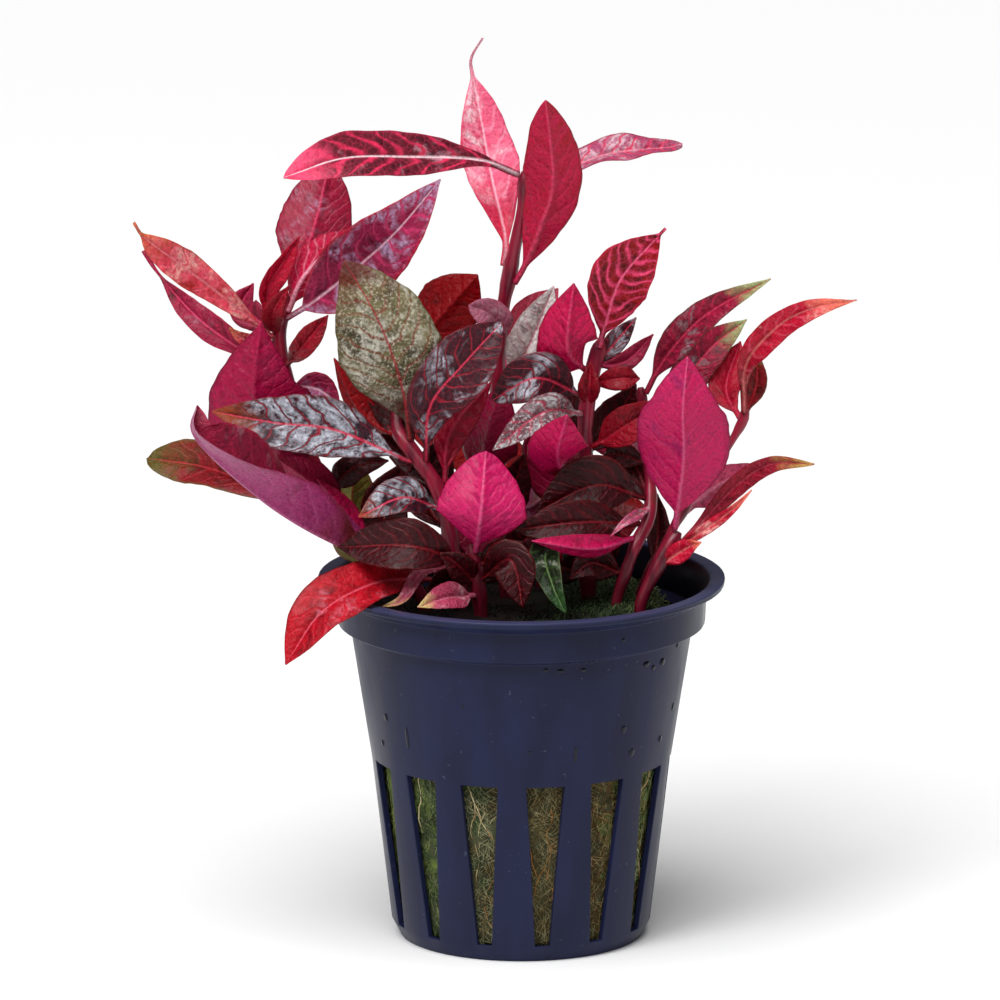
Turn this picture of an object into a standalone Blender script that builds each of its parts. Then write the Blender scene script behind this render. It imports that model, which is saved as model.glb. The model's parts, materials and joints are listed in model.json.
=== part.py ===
"""Potted Alternanthera cardinalis: a net pot, its rock wool plug, nine shoots and their leaves.

The origin is the centre of the pot's flat underside, +Z up, with the front of the plant towards -Y.
Lengths below are in millimetres and are turned into metres when a mesh is made.
"""

import math
from typing import NamedTuple

import bmesh
import bpy
from mathutils import Matrix, Vector

MM = 0.001

# Net pot
POT_WALL = 0.9
SLOT_COUNT = 14
SLOT_PITCH = math.tau / SLOT_COUNT
FIRST_SLOT = math.radians(9.2)
SLOT_HALF_BOTTOM = math.radians(3.25)
SLOT_HALF_TOP = math.radians(7.35)
FLOOR_DISC_RADIUS = 6.0
FLOOR_SLOT_END = 13.0
FLOOR_SLOT_HALF_WIDTH = 0.7
# Each ring of the pot: outer radius, outer height, inner radius, inner height.
SLOT_BOTTOM_RING = (17.6, 2.3, 16.7, 2.3)
SLOT_TOP_RING = (20.3, 25.0, 19.4, 25.0)
POT_RINGS = (
    (FLOOR_DISC_RADIUS, 0.0, FLOOR_DISC_RADIUS, POT_WALL),
    (FLOOR_SLOT_END, 0.0, FLOOR_SLOT_END, POT_WALL),
    (16.4, 0.0, 15.9, POT_WALL),
    SLOT_BOTTOM_RING,
    SLOT_TOP_RING,
    (23.1, 42.7, 22.2, 43.6),
    (24.8, 43.3, 23.9, 44.2),
    (25.0, 47.4, 24.1, 47.5),
    (27.4, 48.6, 25.5, 49.3),
    (27.5, 49.4, 26.0, 49.4),
)

# Rock wool plug
# Each ring of the wool's side: radius and height. The last ring lies in the uneven top.
WOOL_RINGS = ((15.3, 1.25), (16.3, 2.3), (19.0, 25.0), (21.0, 39.0), (21.3, 43.8))
WOOL_TOP_RING_RADIUS = 13.2
WOOL_SIDES = 24
WOOL_TOP_MEAN = 46.2
WOOL_RISE_RIGHT = 0.045
WOOL_RISE_FRONT = 0.05
WOOL_LUMP_HEIGHT = 0.5
WOOL_LUMP_PITCH = (0.37, 0.31)
WOOL_LUMP_START = 1.1
WOOL_DENT_DEPTH = 2.5
WOOL_DENT_HALF = math.radians(24.0)
WOOL_DENT_START = 25.0
WOOL_DENT_FULL = 39.0

# Stems
STEM_SIDES = 6
STEM_STATION_LENGTH = 6.0
STEM_STATIONS_LEAST = 6
STEM_BURIED = 2.4
SOCKET_GAP = 0.7
SOCKET_SIDES = 7
SOCKET_DEPTH = 7.2
NODE_SWELL = 0.22
NODE_LENGTH = 1.6

# Leaves
LEAF_GAP = 0.3
RIB_THICKNESS = 0.62
BLADE_THICKNESS = 0.3
TIP_THINNING = 0.6
STALK_SHARE = 0.1
STALK_HALF = 0.42
TAIL_HALF = 0.22
TIP_HALF = 0.12
BLADE_FULLNESS = 0.85
RIPPLE_TURNS = 2.75
RIPPLE_STARTS = (0.8, 3.3)
# A wide leaf has a bent line halfway between its midrib and each edge, and more stations.
WIDE_LEAF = 4.5
WIDE_STATIONS = 8
NARROW_STATIONS = 6
FUSED_STATIONS = 4
BEND_LINE = 0.55

# The point that the plant is drawn from. A route's points are (x, z, back): x and z are where the
# point shows in the upright plane through the pot's axis, and back is how far it lies behind that
# plane along the line of sight (negative is nearer).
VIEWPOINT = Vector((-2.9, -1559.0, 419.9))


class Stem(NamedTuple):
    """A stem: where it stands in the wool, its radius at foot and top, and the points it passes."""

    name: str
    foot: tuple
    radius: tuple
    route: tuple


class Leaf(NamedTuple):
    """A leaf: its stem, the height it grows at and the points that its midrib passes to its tip.

    half is half the blade's width. turn is 0 where the upper side shows, 90 edge-on and 180 where
    the underside shows, twist its change along the leaf, fold the lift of each half at the midrib
    and cup the further bend from midrib to edge, all in degrees. widest is how far along the blade
    it is broadest, point how sharply it narrows to the tip, tail the share of the length that is a
    thread, and wave the height of the ripples at the edges. A fused leaf is one solid with its stem.
    """

    name: str
    stem: str
    height: float
    route: tuple
    half: float
    turn: float = 0.0
    twist: float = 0.0
    fold: float = 12.0
    cup: float = 10.0
    widest: float = 0.45
    point: float = 0.9
    tail: float = 0.0
    wave: float = 0.0
    fused: bool = False


STEMS = (
    Stem("stem_tall", (-2.0, 3.0), (1.05, 0.8), (
        (-3.2, 58.3, 4), (-3.4, 72.4, 5), (-2.7, 84.6, 4), (-1.7, 90.6, 3.5), (-0.7, 95.7, 3),
        (0.2, 100.2, 3), (0.5, 105.1, 3))),
    Stem("stem_left", (-13.2, -4.0), (1.0, 0.75), (
        (-17, 50.7, -3.5), (-23.5, 57.3, -1.5), (-28, 65.4, 1), (-31.3, 75.5, 2.2),
        (-32.6, 82.5, 2.2), (-31.3, 88.1, 2.2))),
    Stem("stem_centre", (-8.0, -8.0), (1.0, 0.75), (
        (-9.5, 54.2, -8), (-11.2, 61.3, -8), (-14.5, 66.4, -6.5), (-16.8, 70.4, -4.5),
        (-15.8, 77.5, 1))),
    Stem("stem_right", (9.0, -3.0), (1.05, 0.85), (
        (8.7, 60.3, -2.5), (8.5, 69.4, -2.5), (9.3, 76.5, -2), (10.7, 82, -1))),
    Stem("stem_thin", (16.0, -4.5), (0.62, 0.48), (
        (19, 53.2, -5), (22, 58.8, -5), (26.6, 65.4, -4), (29.7, 70.7, -3), (30.1, 72.9, -3))),
    Stem("stem_red", (12.8, -9.5), (0.75, 0.6), (
        (15.2, 53.2, -8.5), (17.3, 58.3, -5), (17, 66.4, -2), (16, 75.5, -1))),
    Stem("stem_front", (-5.5, -12.0), (0.95, 0.8), ((-6.2, 50.2, -12.5), (-6.8, 53.7, -12.5))),
    Stem("stem_stub", (16.0, -10.0), (0.85, 0.8), ((18.9, 51.7, -8.8), (21.2, 55.6, -8))),
    Stem("stem_back", (3.0, 10.0), (1.0, 0.8), ((4, 60.3, 12), (4.5, 74.4, 11), (4.8, 79.5, 10))),
)

LEAVES = (
    Leaf("leaf_tall_1", "stem_tall", 89.1,
         ((0.6, 92.6, 1.8), (2.6, 97.7, 0), (4.2, 103.8, -2), (3.2, 114.8, -6)), 4.1, turn=180,
         widest=0.55, point=0.75),
    Leaf("leaf_tall_2", "stem_tall", 103.8,
         ((-6, 106.7, -1), (-15, 107.1, -5), (-24, 106.9, -9), (-31.9, 104.2, -12)), 3.6, turn=24,
         widest=0.62, point=0.6, wave=0.3),
    Leaf("leaf_tall_3", "stem_tall", 91.1,
         ((-2.2, 96, 3.5), (-3.9, 103.8, 8), (-5.2, 110.9, 11), (-6.5, 118, 13), (-6.7, 120.5, 13),
          (-5.2, 123.3, 13)), 3.9, turn=10, widest=0.52, tail=0.17, wave=0.4),
    Leaf("leaf_tall_4", "stem_tall", 102.8, ((6, 105.3, 5.5), (12, 107.6, 9), (21.5, 108.6, 13)),
         2.9, turn=-50, widest=0.5, point=0.7, wave=0.3),
    Leaf("leaflet_tall_1", "stem_tall", 80.5, ((-4, 85.2, 1.0), (-7.1, 86.8, 0)), 2.6,
         point=0.6, fused=True),
    Leaf("leaf_tall_5", "stem_tall", 74.9, ((0.6, 80.5, 0.5), (4.3, 89.4, -1.5)), 3.2),
    Leaf("leaf_left_1", "stem_left", 87.1,
         ((-29.4, 92.6, 4.5), (-27.4, 99, 8), (-25.7, 106.6, 12)), 5.2, turn=180, widest=0.5,
         point=0.7),
    Leaf("leaf_left_2", "stem_left", 85.6, ((-28.9, 91.1, 0), (-23, 97.2, -1)), 3.2, turn=170),
    Leaf("leaf_left_3", "stem_left", 84.6,
         ((-27.8, 87.4, -1.5), (-22.7, 91.5, -4.5), (-16.9, 96.8, -8), (-10.9, 104, -11)), 5.3,
         fold=18, widest=0.4),
    Leaf("leaf_left_4", "stem_left", 83.5, ((-34.2, 88.6, 0.5), (-31.6, 93.3, 0), (-29.7, 96.3, 0)),
         1.8, turn=20, fold=25),
    Leaf("leaf_left_5", "stem_left", 81.5,
         ((-38.4, 86.6, -1.6), (-44.6, 91.5, -5), (-50.3, 95.8, -9), (-52, 98.1, -10)), 2.4,
         widest=0.7, point=0.6, tail=0.08, wave=0.4),
    Leaf("leaf_left_6", "stem_left", 76.5,
         ((-37.8, 80.7, 5), (-43.6, 85.2, 9), (-48.6, 90.9, 12), (-50.7, 94.3, 13)), 2.0, turn=20,
         twist=-40, tail=0.15, wave=0.4),
    Leaf("leaf_left_7", "stem_left", 78.0, ((-29.5, 81, -3), (-26, 85.4, -4)), 1.7,
         widest=0.6),
    Leaf("leaf_left_8", "stem_left", 61.8,
         ((-32, 65.9, -3.1), (-35.8, 73.9, -4.2), (-35, 84.5, -3.4)), 7.9, turn=175, widest=0.37,
         point=1.05),
    Leaf("leaf_left_9", "stem_left", 52.2,
         ((-25.3, 54.2, -11), (-33.2, 58.9, -16), (-41, 65.4, -19.5), (-44.3, 69.5, -19.5),
          (-43.6, 73, -18)), 7.0, turn=150, twist=-110, fold=45, widest=0.55, point=0.65),
    Leaf("leaf_left_10", "stem_left", 58.8,
         ((-35, 61.7, -1.5), (-43, 64.6, 3), (-50.4, 65.7, 6)), 3.3, turn=20, wave=0.3,
         widest=0.72, point=0.5),
    Leaf("leaflet_left_1", "stem_left", 52.7, ((-25.6, 57.8, -6), (-29.3, 62.6, -7)), 1.5,
         turn=150, fused=True),
    Leaf("leaflet_left_2", "stem_left", 54.2, ((-24.2, 58.9, -4.3), (-27.6, 62.9, -4.8)), 1.6,
         turn=160, fused=True),
    Leaf("leaflet_left_7", "stem_left", 57.2, ((-28, 62.2, -4.6), (-33.5, 66.2, -7.6)), 2.9,
         turn=150, fused=True),
    Leaf("leaflet_left_9", "stem_left", 51.2, ((-18.5, 58.3, 1), (-15.5, 65.4, 2)), 3.4, fused=True),
    Leaf("leaf_left_11", "stem_left", 50.7,
         ((-21.3, 55.3, 1.5), (-22.8, 59.8, 3), (-22.2, 64.9, 3)), 4.6, turn=180, point=0.6),
    Leaf("leaflet_left_3", "stem_left", 74.9, ((-27.6, 75.3, 1.0), (-24.4, 73, 0)), 2.3,
         turn=-10, fused=True),
    Leaf("leaflet_left_8", "stem_left", 49.7, ((-17.5, 49.7, -8), (-22.6, 50.8, -9.5)), 2.3, turn=10,
         fused=True),
    Leaf("leaflet_left_4", "stem_left", 82.5, ((-37.4, 86.4, 4.8), (-36, 89.8, 5)), 2.2, fused=True),
    Leaf("leaflet_left_5", "stem_left", 80.0, ((-37.2, 82.1, 0.5), (-39.3, 83.7, 0.5)), 1.1,
         fused=True),
    Leaf("leaflet_left_6", "stem_left", 81.5, ((-33.4, 85.6, -0.8), (-31.3, 89.4, -1.6)), 1.6,
         fused=True),
    Leaf("leaf_centre_1", "stem_centre", 68.9,
         ((-16.2, 76, -8.5), (-19.2, 84.6, -12), (-23.8, 92.9, -13)), 7.1, fold=8, widest=0.48,
         point=0.8),
    Leaf("leaf_centre_2", "stem_centre", 76.5, ((-12.8, 82.8, 4), (-5.9, 91, 4.5)), 4.5, turn=180,
         widest=0.62),
    Leaf("leaflet_centre_3", "stem_centre", 69.4, ((-21.3, 71.9, -3.5), (-25.2, 79.5, -4)), 2.1,
         turn=150, fused=True),
    Leaf("leaf_centre_3", "stem_centre", 66.9,
         ((-25, 69.6, -8.5), (-33, 70.6, -9.5), (-41.7, 72.2, -8)), 4.3, turn=5),
    Leaf("leaf_centre_4", "stem_centre", 66.4,
         ((-12.3, 72.9, -10.5), (-7.8, 78.7, -11.5), (-2.7, 84.4, -10)), 4.5, widest=0.6, point=0.75),
    Leaf("leaf_centre_5", "stem_centre", 63.3, ((-9.5, 69.4, -6.5), (-4.1, 76.2, -4.5)), 2.5,
         turn=170),
    Leaf("leaflet_centre_1", "stem_centre", 56.3, ((-13, 60.8, -4), (-10, 69.4, -3.5)), 3.8, turn=20,
         fused=True),
    Leaf("leaf_centre_6", "stem_centre", 60.8, ((-16, 60.3, -13), (-22, 57.6, -14.5)), 2.9, turn=25),
    Leaf("leaflet_centre_2", "stem_centre", 51.7,
         ((-13.2, 50.1, -12.6), (-16, 46.2, -16), (-19, 45.1, -16.3)), 1.2, turn=30,
         fused=True),
    Leaf("leaf_front_1", "stem_front", 55.8, ((-5.5, 57.8, -17), (-4.8, 66.7, -13)), 6.4, turn=180,
         widest=0.38, point=0.6),
    Leaf("leaf_front_2", "stem_front", 54.2, ((-15, 53.6, -16), (-24.8, 53.4, -12)), 3.7, turn=12),
    Leaf("leaflet_front_1", "stem_front", 51.2, ((-1.5, 51.7, -16.5), (0.2, 45, -18.5)), 3.0,
         turn=10, widest=0.55, fused=True),
    Leaf("leaf_front_3", "stem_centre", 50.2,
         ((-15.5, 49, -11), (-21, 48, -15), (-27.2, 44.2, -19), (-31.9, 37.1, -21)), 4.2,
         turn=30, widest=0.62),
    Leaf("leaf_front_4", "stem_front", 49.7, ((-10, 46.4, -19), (-14, 45.1, -22)), 2.1, turn=20),
    Leaf("leaf_right_1", "stem_right", 81.0,
         ((11.4, 84.7, -4), (13.4, 90.5, -7), (18.2, 96.1, -10), (19.3, 97.3, -10.5)), 4.3,
         widest=0.55, tail=0.05),
    Leaf("leaf_right_2", "stem_right", 77.5, ((6.2, 80.9, -6.5), (7, 89.8, -6.7)), 4.4, turn=180,
         widest=0.32),
    Leaf("leaf_right_3", "stem_right", 74.4, ((2, 76.8, -7.5), (-4, 73.7, -8.5)), 3.6, turn=5,
         point=0.7),
    Leaf("leaf_right_4", "stem_right", 71.9, ((3, 72.1, -10.8), (-3.9, 66.8, -11.3)), 2.4),
    Leaf("leaf_right_5", "stem_right", 62.3,
         ((5.6, 63.8, -5), (4.9, 66.6, -13), (6.1, 71.7, -16.2)), 4.2, turn=180, widest=0.55),
    Leaf("leaflet_right_3", "stem_right", 58.3, ((4.5, 63.3, 0.5), (2, 71.9, 0.5)), 4.0, turn=180,
         fused=True),
    Leaf("leaflet_right_4", "stem_right", 65.9, ((12.5, 70.9, 0.8), (15.4, 76, 1)), 3.0,
         fused=True),
    Leaf("leaf_right_6", "stem_right", 67.9, ((14.3, 70.4, -6), (19.3, 73.6, -6.5)), 2.7),
    Leaf("leaf_right_7", "stem_right", 53.2,
         ((3.4, 52.7, -12), (4.2, 48.2, -18.5), (6, 44.2, -20.3)), 2.3, turn=10, point=0.7),
    Leaf("leaflet_right_1", "stem_right", 78.5, ((14, 79.1, -1), (17.7, 82.8, 0)), 1.4, fused=True),
    Leaf("leaflet_right_2", "stem_right", 76.0, ((13, 76.7, -3.5), (15.9, 76.7, -3)), 1.7,
         widest=0.6, fused=True),
    Leaf("leaf_red_1", "stem_red", 74.9,
         ((19.6, 80, -4), (24.9, 85.6, -8), (33.4, 90.4, -12)), 2.4, turn=-10, widest=0.35),
    Leaf("leaf_red_2", "stem_red", 68.4, ((21.5, 75.5, 2), (25.5, 81, 3.5), (30.2, 84.8, 7.2)),
         2.8),
    Leaf("leaflet_red_1", "stem_red", 65.3, ((12.8, 66.3, -3), (10.8, 65.8, -4.8)), 1.8,
         fused=True),
    Leaf("leaf_red_3", "stem_red", 60.8, ((10, 62, -7.5), (2, 58.3, -8.5)), 4.2, turn=5),
    Leaf("leaf_red_4", "stem_red", 57.3, ((8, 56.9, -12), (-1.5, 55.7, -13)), 3.0, turn=10),
    Leaf("leaf_red_5", "stem_red", 55.8, ((9.5, 53.3, -15), (1.4, 54.3, -17)), 1.9, turn=150),
    Leaf("leaflet_red_2", "stem_red", 59.8, ((14, 56.9, -12), (12, 54.9, -13)), 0.8, fused=True),
    Leaf("leaf_stub_1", "stem_stub", 57.6,
         ((21.8, 65.4, -12.5), (21.7, 72.4, -15), (22.3, 79.7, -15)), 6.4, turn=180, fold=6,
         widest=0.44, point=0.85),
    Leaf("leaf_stub_2", "stem_stub", 56.1,
         ((25.4, 58.2, -8), (29.8, 62.7, -10), (34, 65, -12.5), (39.4, 64.9, -15)), 1.5,
         turn=10, point=0.7),
    Leaf("leaflet_stub_1", "stem_stub", 54.0, ((26.2, 56.9, -11), (28.8, 59, -12.5),
         (31, 61.3, -13)), 0.85, fused=True),
    Leaf("leaflet_stub_2", "stem_stub", 52.6, ((22.3, 53.3, -10.5), (24.2, 54.1, -12)), 1.5,
         fused=True),
    Leaf("leaf_thin_1", "stem_thin", 72.9,
         ((30.2, 78.7, -6), (34.3, 83.8, -9), (38.9, 86.3, -12), (45, 87.5, -14)), 2.0, turn=10,
         wave=0.3),
    Leaf("leaf_thin_2", "stem_thin", 71.4, ((27.5, 75.5, 2), (29.4, 81.8, 6)), 2.6),
    Leaf("leaf_thin_3", "stem_thin", 59.3, ((26.5, 61.9, 0), (32.9, 64.8, 4)), 2.9, turn=165),
    Leaf("leaflet_thin", "stem_thin", 72.2, ((31.6, 76, -2.5), (31.5, 80.5, -2)), 1.5, fused=True),
    Leaf("leaf_back_1", "stem_back", 77.5, ((1, 84, 7), (4.9, 89.1, 9)), 3.2),
    Leaf("leaf_back_2", "stem_back", 62.3, ((-5, 67.4, 18), (-17, 72.4, 26)), 4.4, turn=200),
    Leaf("leaf_back_3", "stem_back", 66.4, ((13, 69.4, 17), (18.5, 68.4, 26)), 4.4, turn=160),
    Leaf("leaf_back_4", "stem_back", 57.3, ((-0, 58.8, 20), (-9, 60.3, 29)), 4.4, turn=200),
    Leaf("leaflet_tall_3", "stem_tall", 50.7, ((-0.5, 53.2, 0.5), (2.8, 57.8, -0.5)), 2.8,
         fused=True),
    Leaf("leaflet_right_7", "stem_right", 67.9, ((5, 73.4, 1.5), (1.5, 79, 2.5)), 3.0,
         fused=True),
    Leaf("leaflet_centre_4", "stem_centre", 49.2, ((-4.5, 50.7, -7.5), (-0.5, 49, -7.5)), 2.4,
         fused=True),
    Leaf("leaflet_red_3", "stem_red", 51.2, ((9.5, 51.2, -11.5), (6.5, 49, -13)), 2.3,
         fused=True),
    Leaf("leaflet_right_5", "stem_right", 50.2, ((5.3, 50.7, -6), (2, 51.7, -7.5)), 2.2,
         fused=True),
    Leaf("leaflet_right_6", "stem_right", 51.2, ((11.5, 53.2, -5.5), (12.6, 57.8, -6)), 1.8,
         fused=True),
    Leaf("leaflet_front_2", "stem_front", 53.2, ((-3.3, 52.7, -13.5), (0.3, 54.2, -13.5)), 1.6,
         fused=True),
    Leaf("leaflet_back_1", "stem_back", 51.2, ((-3, 54.2, 13), (-10, 56.3, 12)), 4.2, fused=True),
    Leaf("leaflet_back_2", "stem_back", 52.2, ((9.5, 55.3, 11), (15.5, 56.3, 10)), 4.0, fused=True),
    Leaf("leaf_back_5", "stem_back", 73.4, ((1, 77.5, 17), (-5, 79.5, 26)), 4.3, turn=190),
    Leaf("leaflet_tall_2", "stem_tall", 60.3, ((-4.8, 66.4, -0.5), (-2.5, 76, -2)), 4.3, turn=160,
         fused=True),
    Leaf("leaflet_left_10", "stem_left", 60.8, ((-22.5, 64.5, -4.0), (-17.9, 65.4, -4.5)), 2.1,
         fused=True),
    Leaf("leaflet_centre_6", "stem_centre", 62.3, ((-16.2, 66.9, -3), (-19.8, 71.4, -2)), 2.0,
         fused=True),
    Leaf("leaflet_centre_7", "stem_centre", 66.9, ((-17.8, 74.4, -2.5), (-19.8, 82.5, -2.5)), 3.2,
         fused=True),
    Leaf("leaflet_right_8", "stem_right", 78.0, ((12, 81, 0), (15.4, 85.1, 1)), 1.6,
         fused=True),
    Leaf("leaflet_right_9", "stem_right", 72.9, ((9.1, 75.6, -4.2), (9.3, 79.0, -4.0)), 1.6,
         fused=True),
    Leaf("leaflet_tall_4", "stem_tall", 55.8, ((-1.4, 60.8, -1), (0.4, 66.4, -4)), 2.7,
         fused=True),
    Leaf("leaflet_red_4", "stem_red", 59.8, ((15.8, 63.8, -2.0), (13.4, 67.4, -1.0)), 2.2,
         fused=True),
    Leaf("leaflet_thin_2", "stem_thin", 51.2, ((18.4, 55.1, -2.5), (18.3, 60.8, -2)), 1.7,
         fused=True),
    Leaf("leaflet_centre_5", "stem_centre", 48.7, ((-10.2, 48.4, -11), (-12.8, 47.4, -14)), 2.2,
         fused=True),
    Leaf("leaflet_front_3", "stem_front", 50.7, ((-8.6, 51, -15), (-11, 52.6, -16)), 2.1,
         fused=True),
    Leaf("leaf_back_6", "stem_back", 57.8, ((10, 60.3, 18), (17.5, 58.3, 26)), 4.3, turn=160),
)

CRIMSON = (0.42, 0.012, 0.06)
MAROON = (0.13, 0.012, 0.03)
POT_NAVY = (0.018, 0.02, 0.045)
WOOL_OLIVE = (0.21, 0.2, 0.08)
POT_ROUGHNESS = 0.42
WOOL_ROUGHNESS = 0.95
STEM_ROUGHNESS = 0.5
LEAF_ROUGHNESS = 0.35


def clear_scene():
    """Remove what the scene holds."""
    for thing in list(bpy.data.objects):
        bpy.data.objects.remove(thing, do_unlink=True)


def material(name, colour, roughness):
    """A plain Principled material."""
    made = bpy.data.materials.new(name)
    made.use_nodes = True
    shader = made.node_tree.nodes["Principled BSDF"]
    shader.inputs["Base Color"].default_value = (*colour, 1.0)
    shader.inputs["Roughness"].default_value = roughness
    return made


def add_object(name, points, faces, surface):
    """An object at the origin from points in millimetres, smooth but for its sharp edges."""
    mesh = bpy.data.meshes.new(name)
    mesh.from_pydata([tuple(MM * value for value in point) for point in points], [], faces)
    cleaned = bmesh.new()
    cleaned.from_mesh(mesh)
    bmesh.ops.triangulate(cleaned, faces=cleaned.faces)
    bmesh.ops.recalc_face_normals(cleaned, faces=cleaned.faces)
    cleaned.to_mesh(mesh)
    cleaned.free()
    mesh.shade_smooth()
    mesh.set_sharp_from_angle(angle=math.radians(40.0))
    made = bpy.data.objects.new(name, mesh)
    made.data.materials.append(surface)
    bpy.context.scene.collection.objects.link(made)
    return made


def combine(target, tool, operation):
    """Join a hidden tool object to the target, or cut it away, with a Boolean modifier."""
    tool.hide_render = True
    tool.display_type = "WIRE"
    boolean = target.modifiers.new(tool.name, "BOOLEAN")
    boolean.operation = operation
    boolean.object = tool
    boolean.solver = "EXACT"


def loft(loops):
    """Points and faces of a closed body through loops that each have the same number of points."""
    sides = len(loops[0])
    points = [point for loop in loops for point in loop]
    faces = [tuple(range(sides))[::-1]]
    for row in range(len(loops) - 1):
        for side in range(sides):
            following = (side + 1) % sides
            lower, upper = row * sides, (row + 1) * sides
            faces.append((lower + side, lower + following, upper + following, upper + side))
    faces.append(tuple(range(len(points) - sides, len(points))))
    return points, faces


def seen_point(x, z, back):
    """The place of a route's point (x, z, back)."""
    reach = 1.0 + back / -VIEWPOINT.y
    return Vector((VIEWPOINT.x + (x - VIEWPOINT.x) * reach, back,
                   VIEWPOINT.z + (z - VIEWPOINT.z) * reach))


def smooth_path(points, steps=12):
    """A Catmull-Rom curve through the points, as a dense list."""
    ends = [2 * points[0] - points[1], *points, 2 * points[-1] - points[-2]]
    path = []
    for index in range(1, len(ends) - 2):
        before, start, end, after = ends[index - 1:index + 3]
        for step in range(steps):
            t = step / steps
            path.append(0.5 * (2 * start + (end - before) * t
                               + (2 * before - 5 * start + 4 * end - after) * t ** 2
                               + (3 * start - before - 3 * end + after) * t ** 3))
    path.append(points[-1].copy())
    return path


class Path:
    """A smooth path that can be read at any share of its length."""

    def __init__(self, points):
        self.points = smooth_path(points)
        self.lengths = [0.0]
        for start, end in zip(self.points, self.points[1:]):
            self.lengths.append(self.lengths[-1] + (end - start).length)

    def at(self, share):
        """The point and direction at this share of the length."""
        target = share * self.lengths[-1]
        index = 1
        while index < len(self.points) - 1 and self.lengths[index] < target:
            index += 1
        start, end = self.points[index - 1], self.points[index]
        span = self.lengths[index] - self.lengths[index - 1]
        point = start.lerp(end, (target - self.lengths[index - 1]) / span)
        ahead = self.points[min(index + 1, len(self.points) - 1)]
        behind = self.points[max(index - 2, 0)]
        return point, (ahead - behind).normalized()

    def share_at_height(self, height):
        """The share of the length where the path first reaches this height."""
        for index, point in enumerate(self.points):
            if point.z >= height:
                return self.lengths[index] / self.lengths[-1]
        return 1.0


def stem_path(stem):
    """The path of a stem from its buried foot to its top."""
    x, y = stem.foot
    top = wool_height(x, y)
    foot = [Vector((x, y, top - STEM_BURIED)), Vector((x, y, top + 1.0))]
    return Path(foot + [seen_point(*point) for point in stem.route])


def stem_radius(stem, share):
    """The radius of a stem at this share of its length."""
    foot, top = stem.radius
    return foot + (top - foot) * share


def pot_columns(outer_radius, height):
    """The angles of the pot's columns at one ring, four to a slot: left of it, in it and right."""
    if height < SLOT_BOTTOM_RING[1]:
        half = min(SLOT_HALF_TOP, FLOOR_SLOT_HALF_WIDTH / outer_radius)
        if outer_radius > FLOOR_SLOT_END:
            half = SLOT_HALF_BOTTOM
    else:
        rise = (height - SLOT_BOTTOM_RING[1]) / (SLOT_TOP_RING[1] - SLOT_BOTTOM_RING[1])
        half = SLOT_HALF_BOTTOM + (SLOT_HALF_TOP - SLOT_HALF_BOTTOM) * min(rise, 1.0)
    offsets = (-half, 0.0, half, SLOT_PITCH / 2)
    return [FIRST_SLOT + slot * SLOT_PITCH + offset
            for slot in range(SLOT_COUNT) for offset in offsets]


def in_slot(row, column):
    """Whether the pot's face above this ring and right of this column is open."""
    slot_rows = (POT_RINGS.index(SLOT_BOTTOM_RING), POT_RINGS.index(SLOT_TOP_RING))
    return column % 4 < 2 and (row == 0 or slot_rows[0] <= row < slot_rows[1])


def build_pot(surface):
    """The net pot: a tapered cup with a banded, flared rim, wall slots and slots in its floor."""
    outer, inner = [], []
    for outer_radius, outer_z, inner_radius, inner_z in POT_RINGS:
        for angle in pot_columns(outer_radius, outer_z):
            side, front = math.sin(angle), -math.cos(angle)
            outer.append((outer_radius * side, outer_radius * front, outer_z))
            inner.append((inner_radius * side, inner_radius * front, inner_z))
    columns = 4 * SLOT_COUNT
    shift = len(outer)
    faces = [tuple(range(columns))[::-1], tuple(range(shift, shift + columns))]
    for row in range(len(POT_RINGS) - 1):
        for column in range(columns):
            right = (column + 1) % columns
            a, b = row * columns + column, row * columns + right
            c, d = a + columns, b + columns
            if not in_slot(row, column):
                faces.append((a, b, d, c))
                faces.append((shift + c, shift + d, shift + b, shift + a))
                continue
            if not in_slot(row - 1, column):
                faces.append((a, b, shift + b, shift + a))
            if not in_slot(row + 1, column):
                faces.append((shift + c, shift + d, d, c))
            if not in_slot(row, (column - 1) % columns):
                faces.append((a, shift + a, shift + c, c))
            if not in_slot(row, right):
                faces.append((b, d, shift + d, shift + b))
    last = (len(POT_RINGS) - 1) * columns
    for column in range(columns):
        a, b = last + column, last + (column + 1) % columns
        faces.append((a, b, shift + b, shift + a))
    return add_object("pot", outer + inner, faces, surface)


def wool_height(x, y):
    """The height of the wool's uneven top, highest towards the front right."""
    tilt = WOOL_RISE_RIGHT * x - WOOL_RISE_FRONT * y
    along = math.sin(WOOL_LUMP_PITCH[0] * x + WOOL_LUMP_START)
    return WOOL_TOP_MEAN + tilt + WOOL_LUMP_HEIGHT * along * math.cos(WOOL_LUMP_PITCH[1] * y)


def wool_loop(radius, height=None):
    """A ring of the wool, drawn in at the dent on its right; with no height it lies in the top."""
    level = WOOL_TOP_MEAN if height is None else height
    deep = min(1.0, max(0.0, (level - WOOL_DENT_START) / (WOOL_DENT_FULL - WOOL_DENT_START)))
    loop = []
    for side in range(WOOL_SIDES):
        angle = math.tau * side / WOOL_SIDES
        off = abs((angle + math.pi) % math.tau - math.pi)
        inside = max(0.0, 1.0 - off / WOOL_DENT_HALF)
        reach = radius - WOOL_DENT_DEPTH * deep * math.sin(inside * math.pi / 2) ** 2
        x, y = reach * math.cos(angle), reach * math.sin(angle)
        loop.append((x, y, wool_height(x, y) if height is None else height))
    return loop


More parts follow.
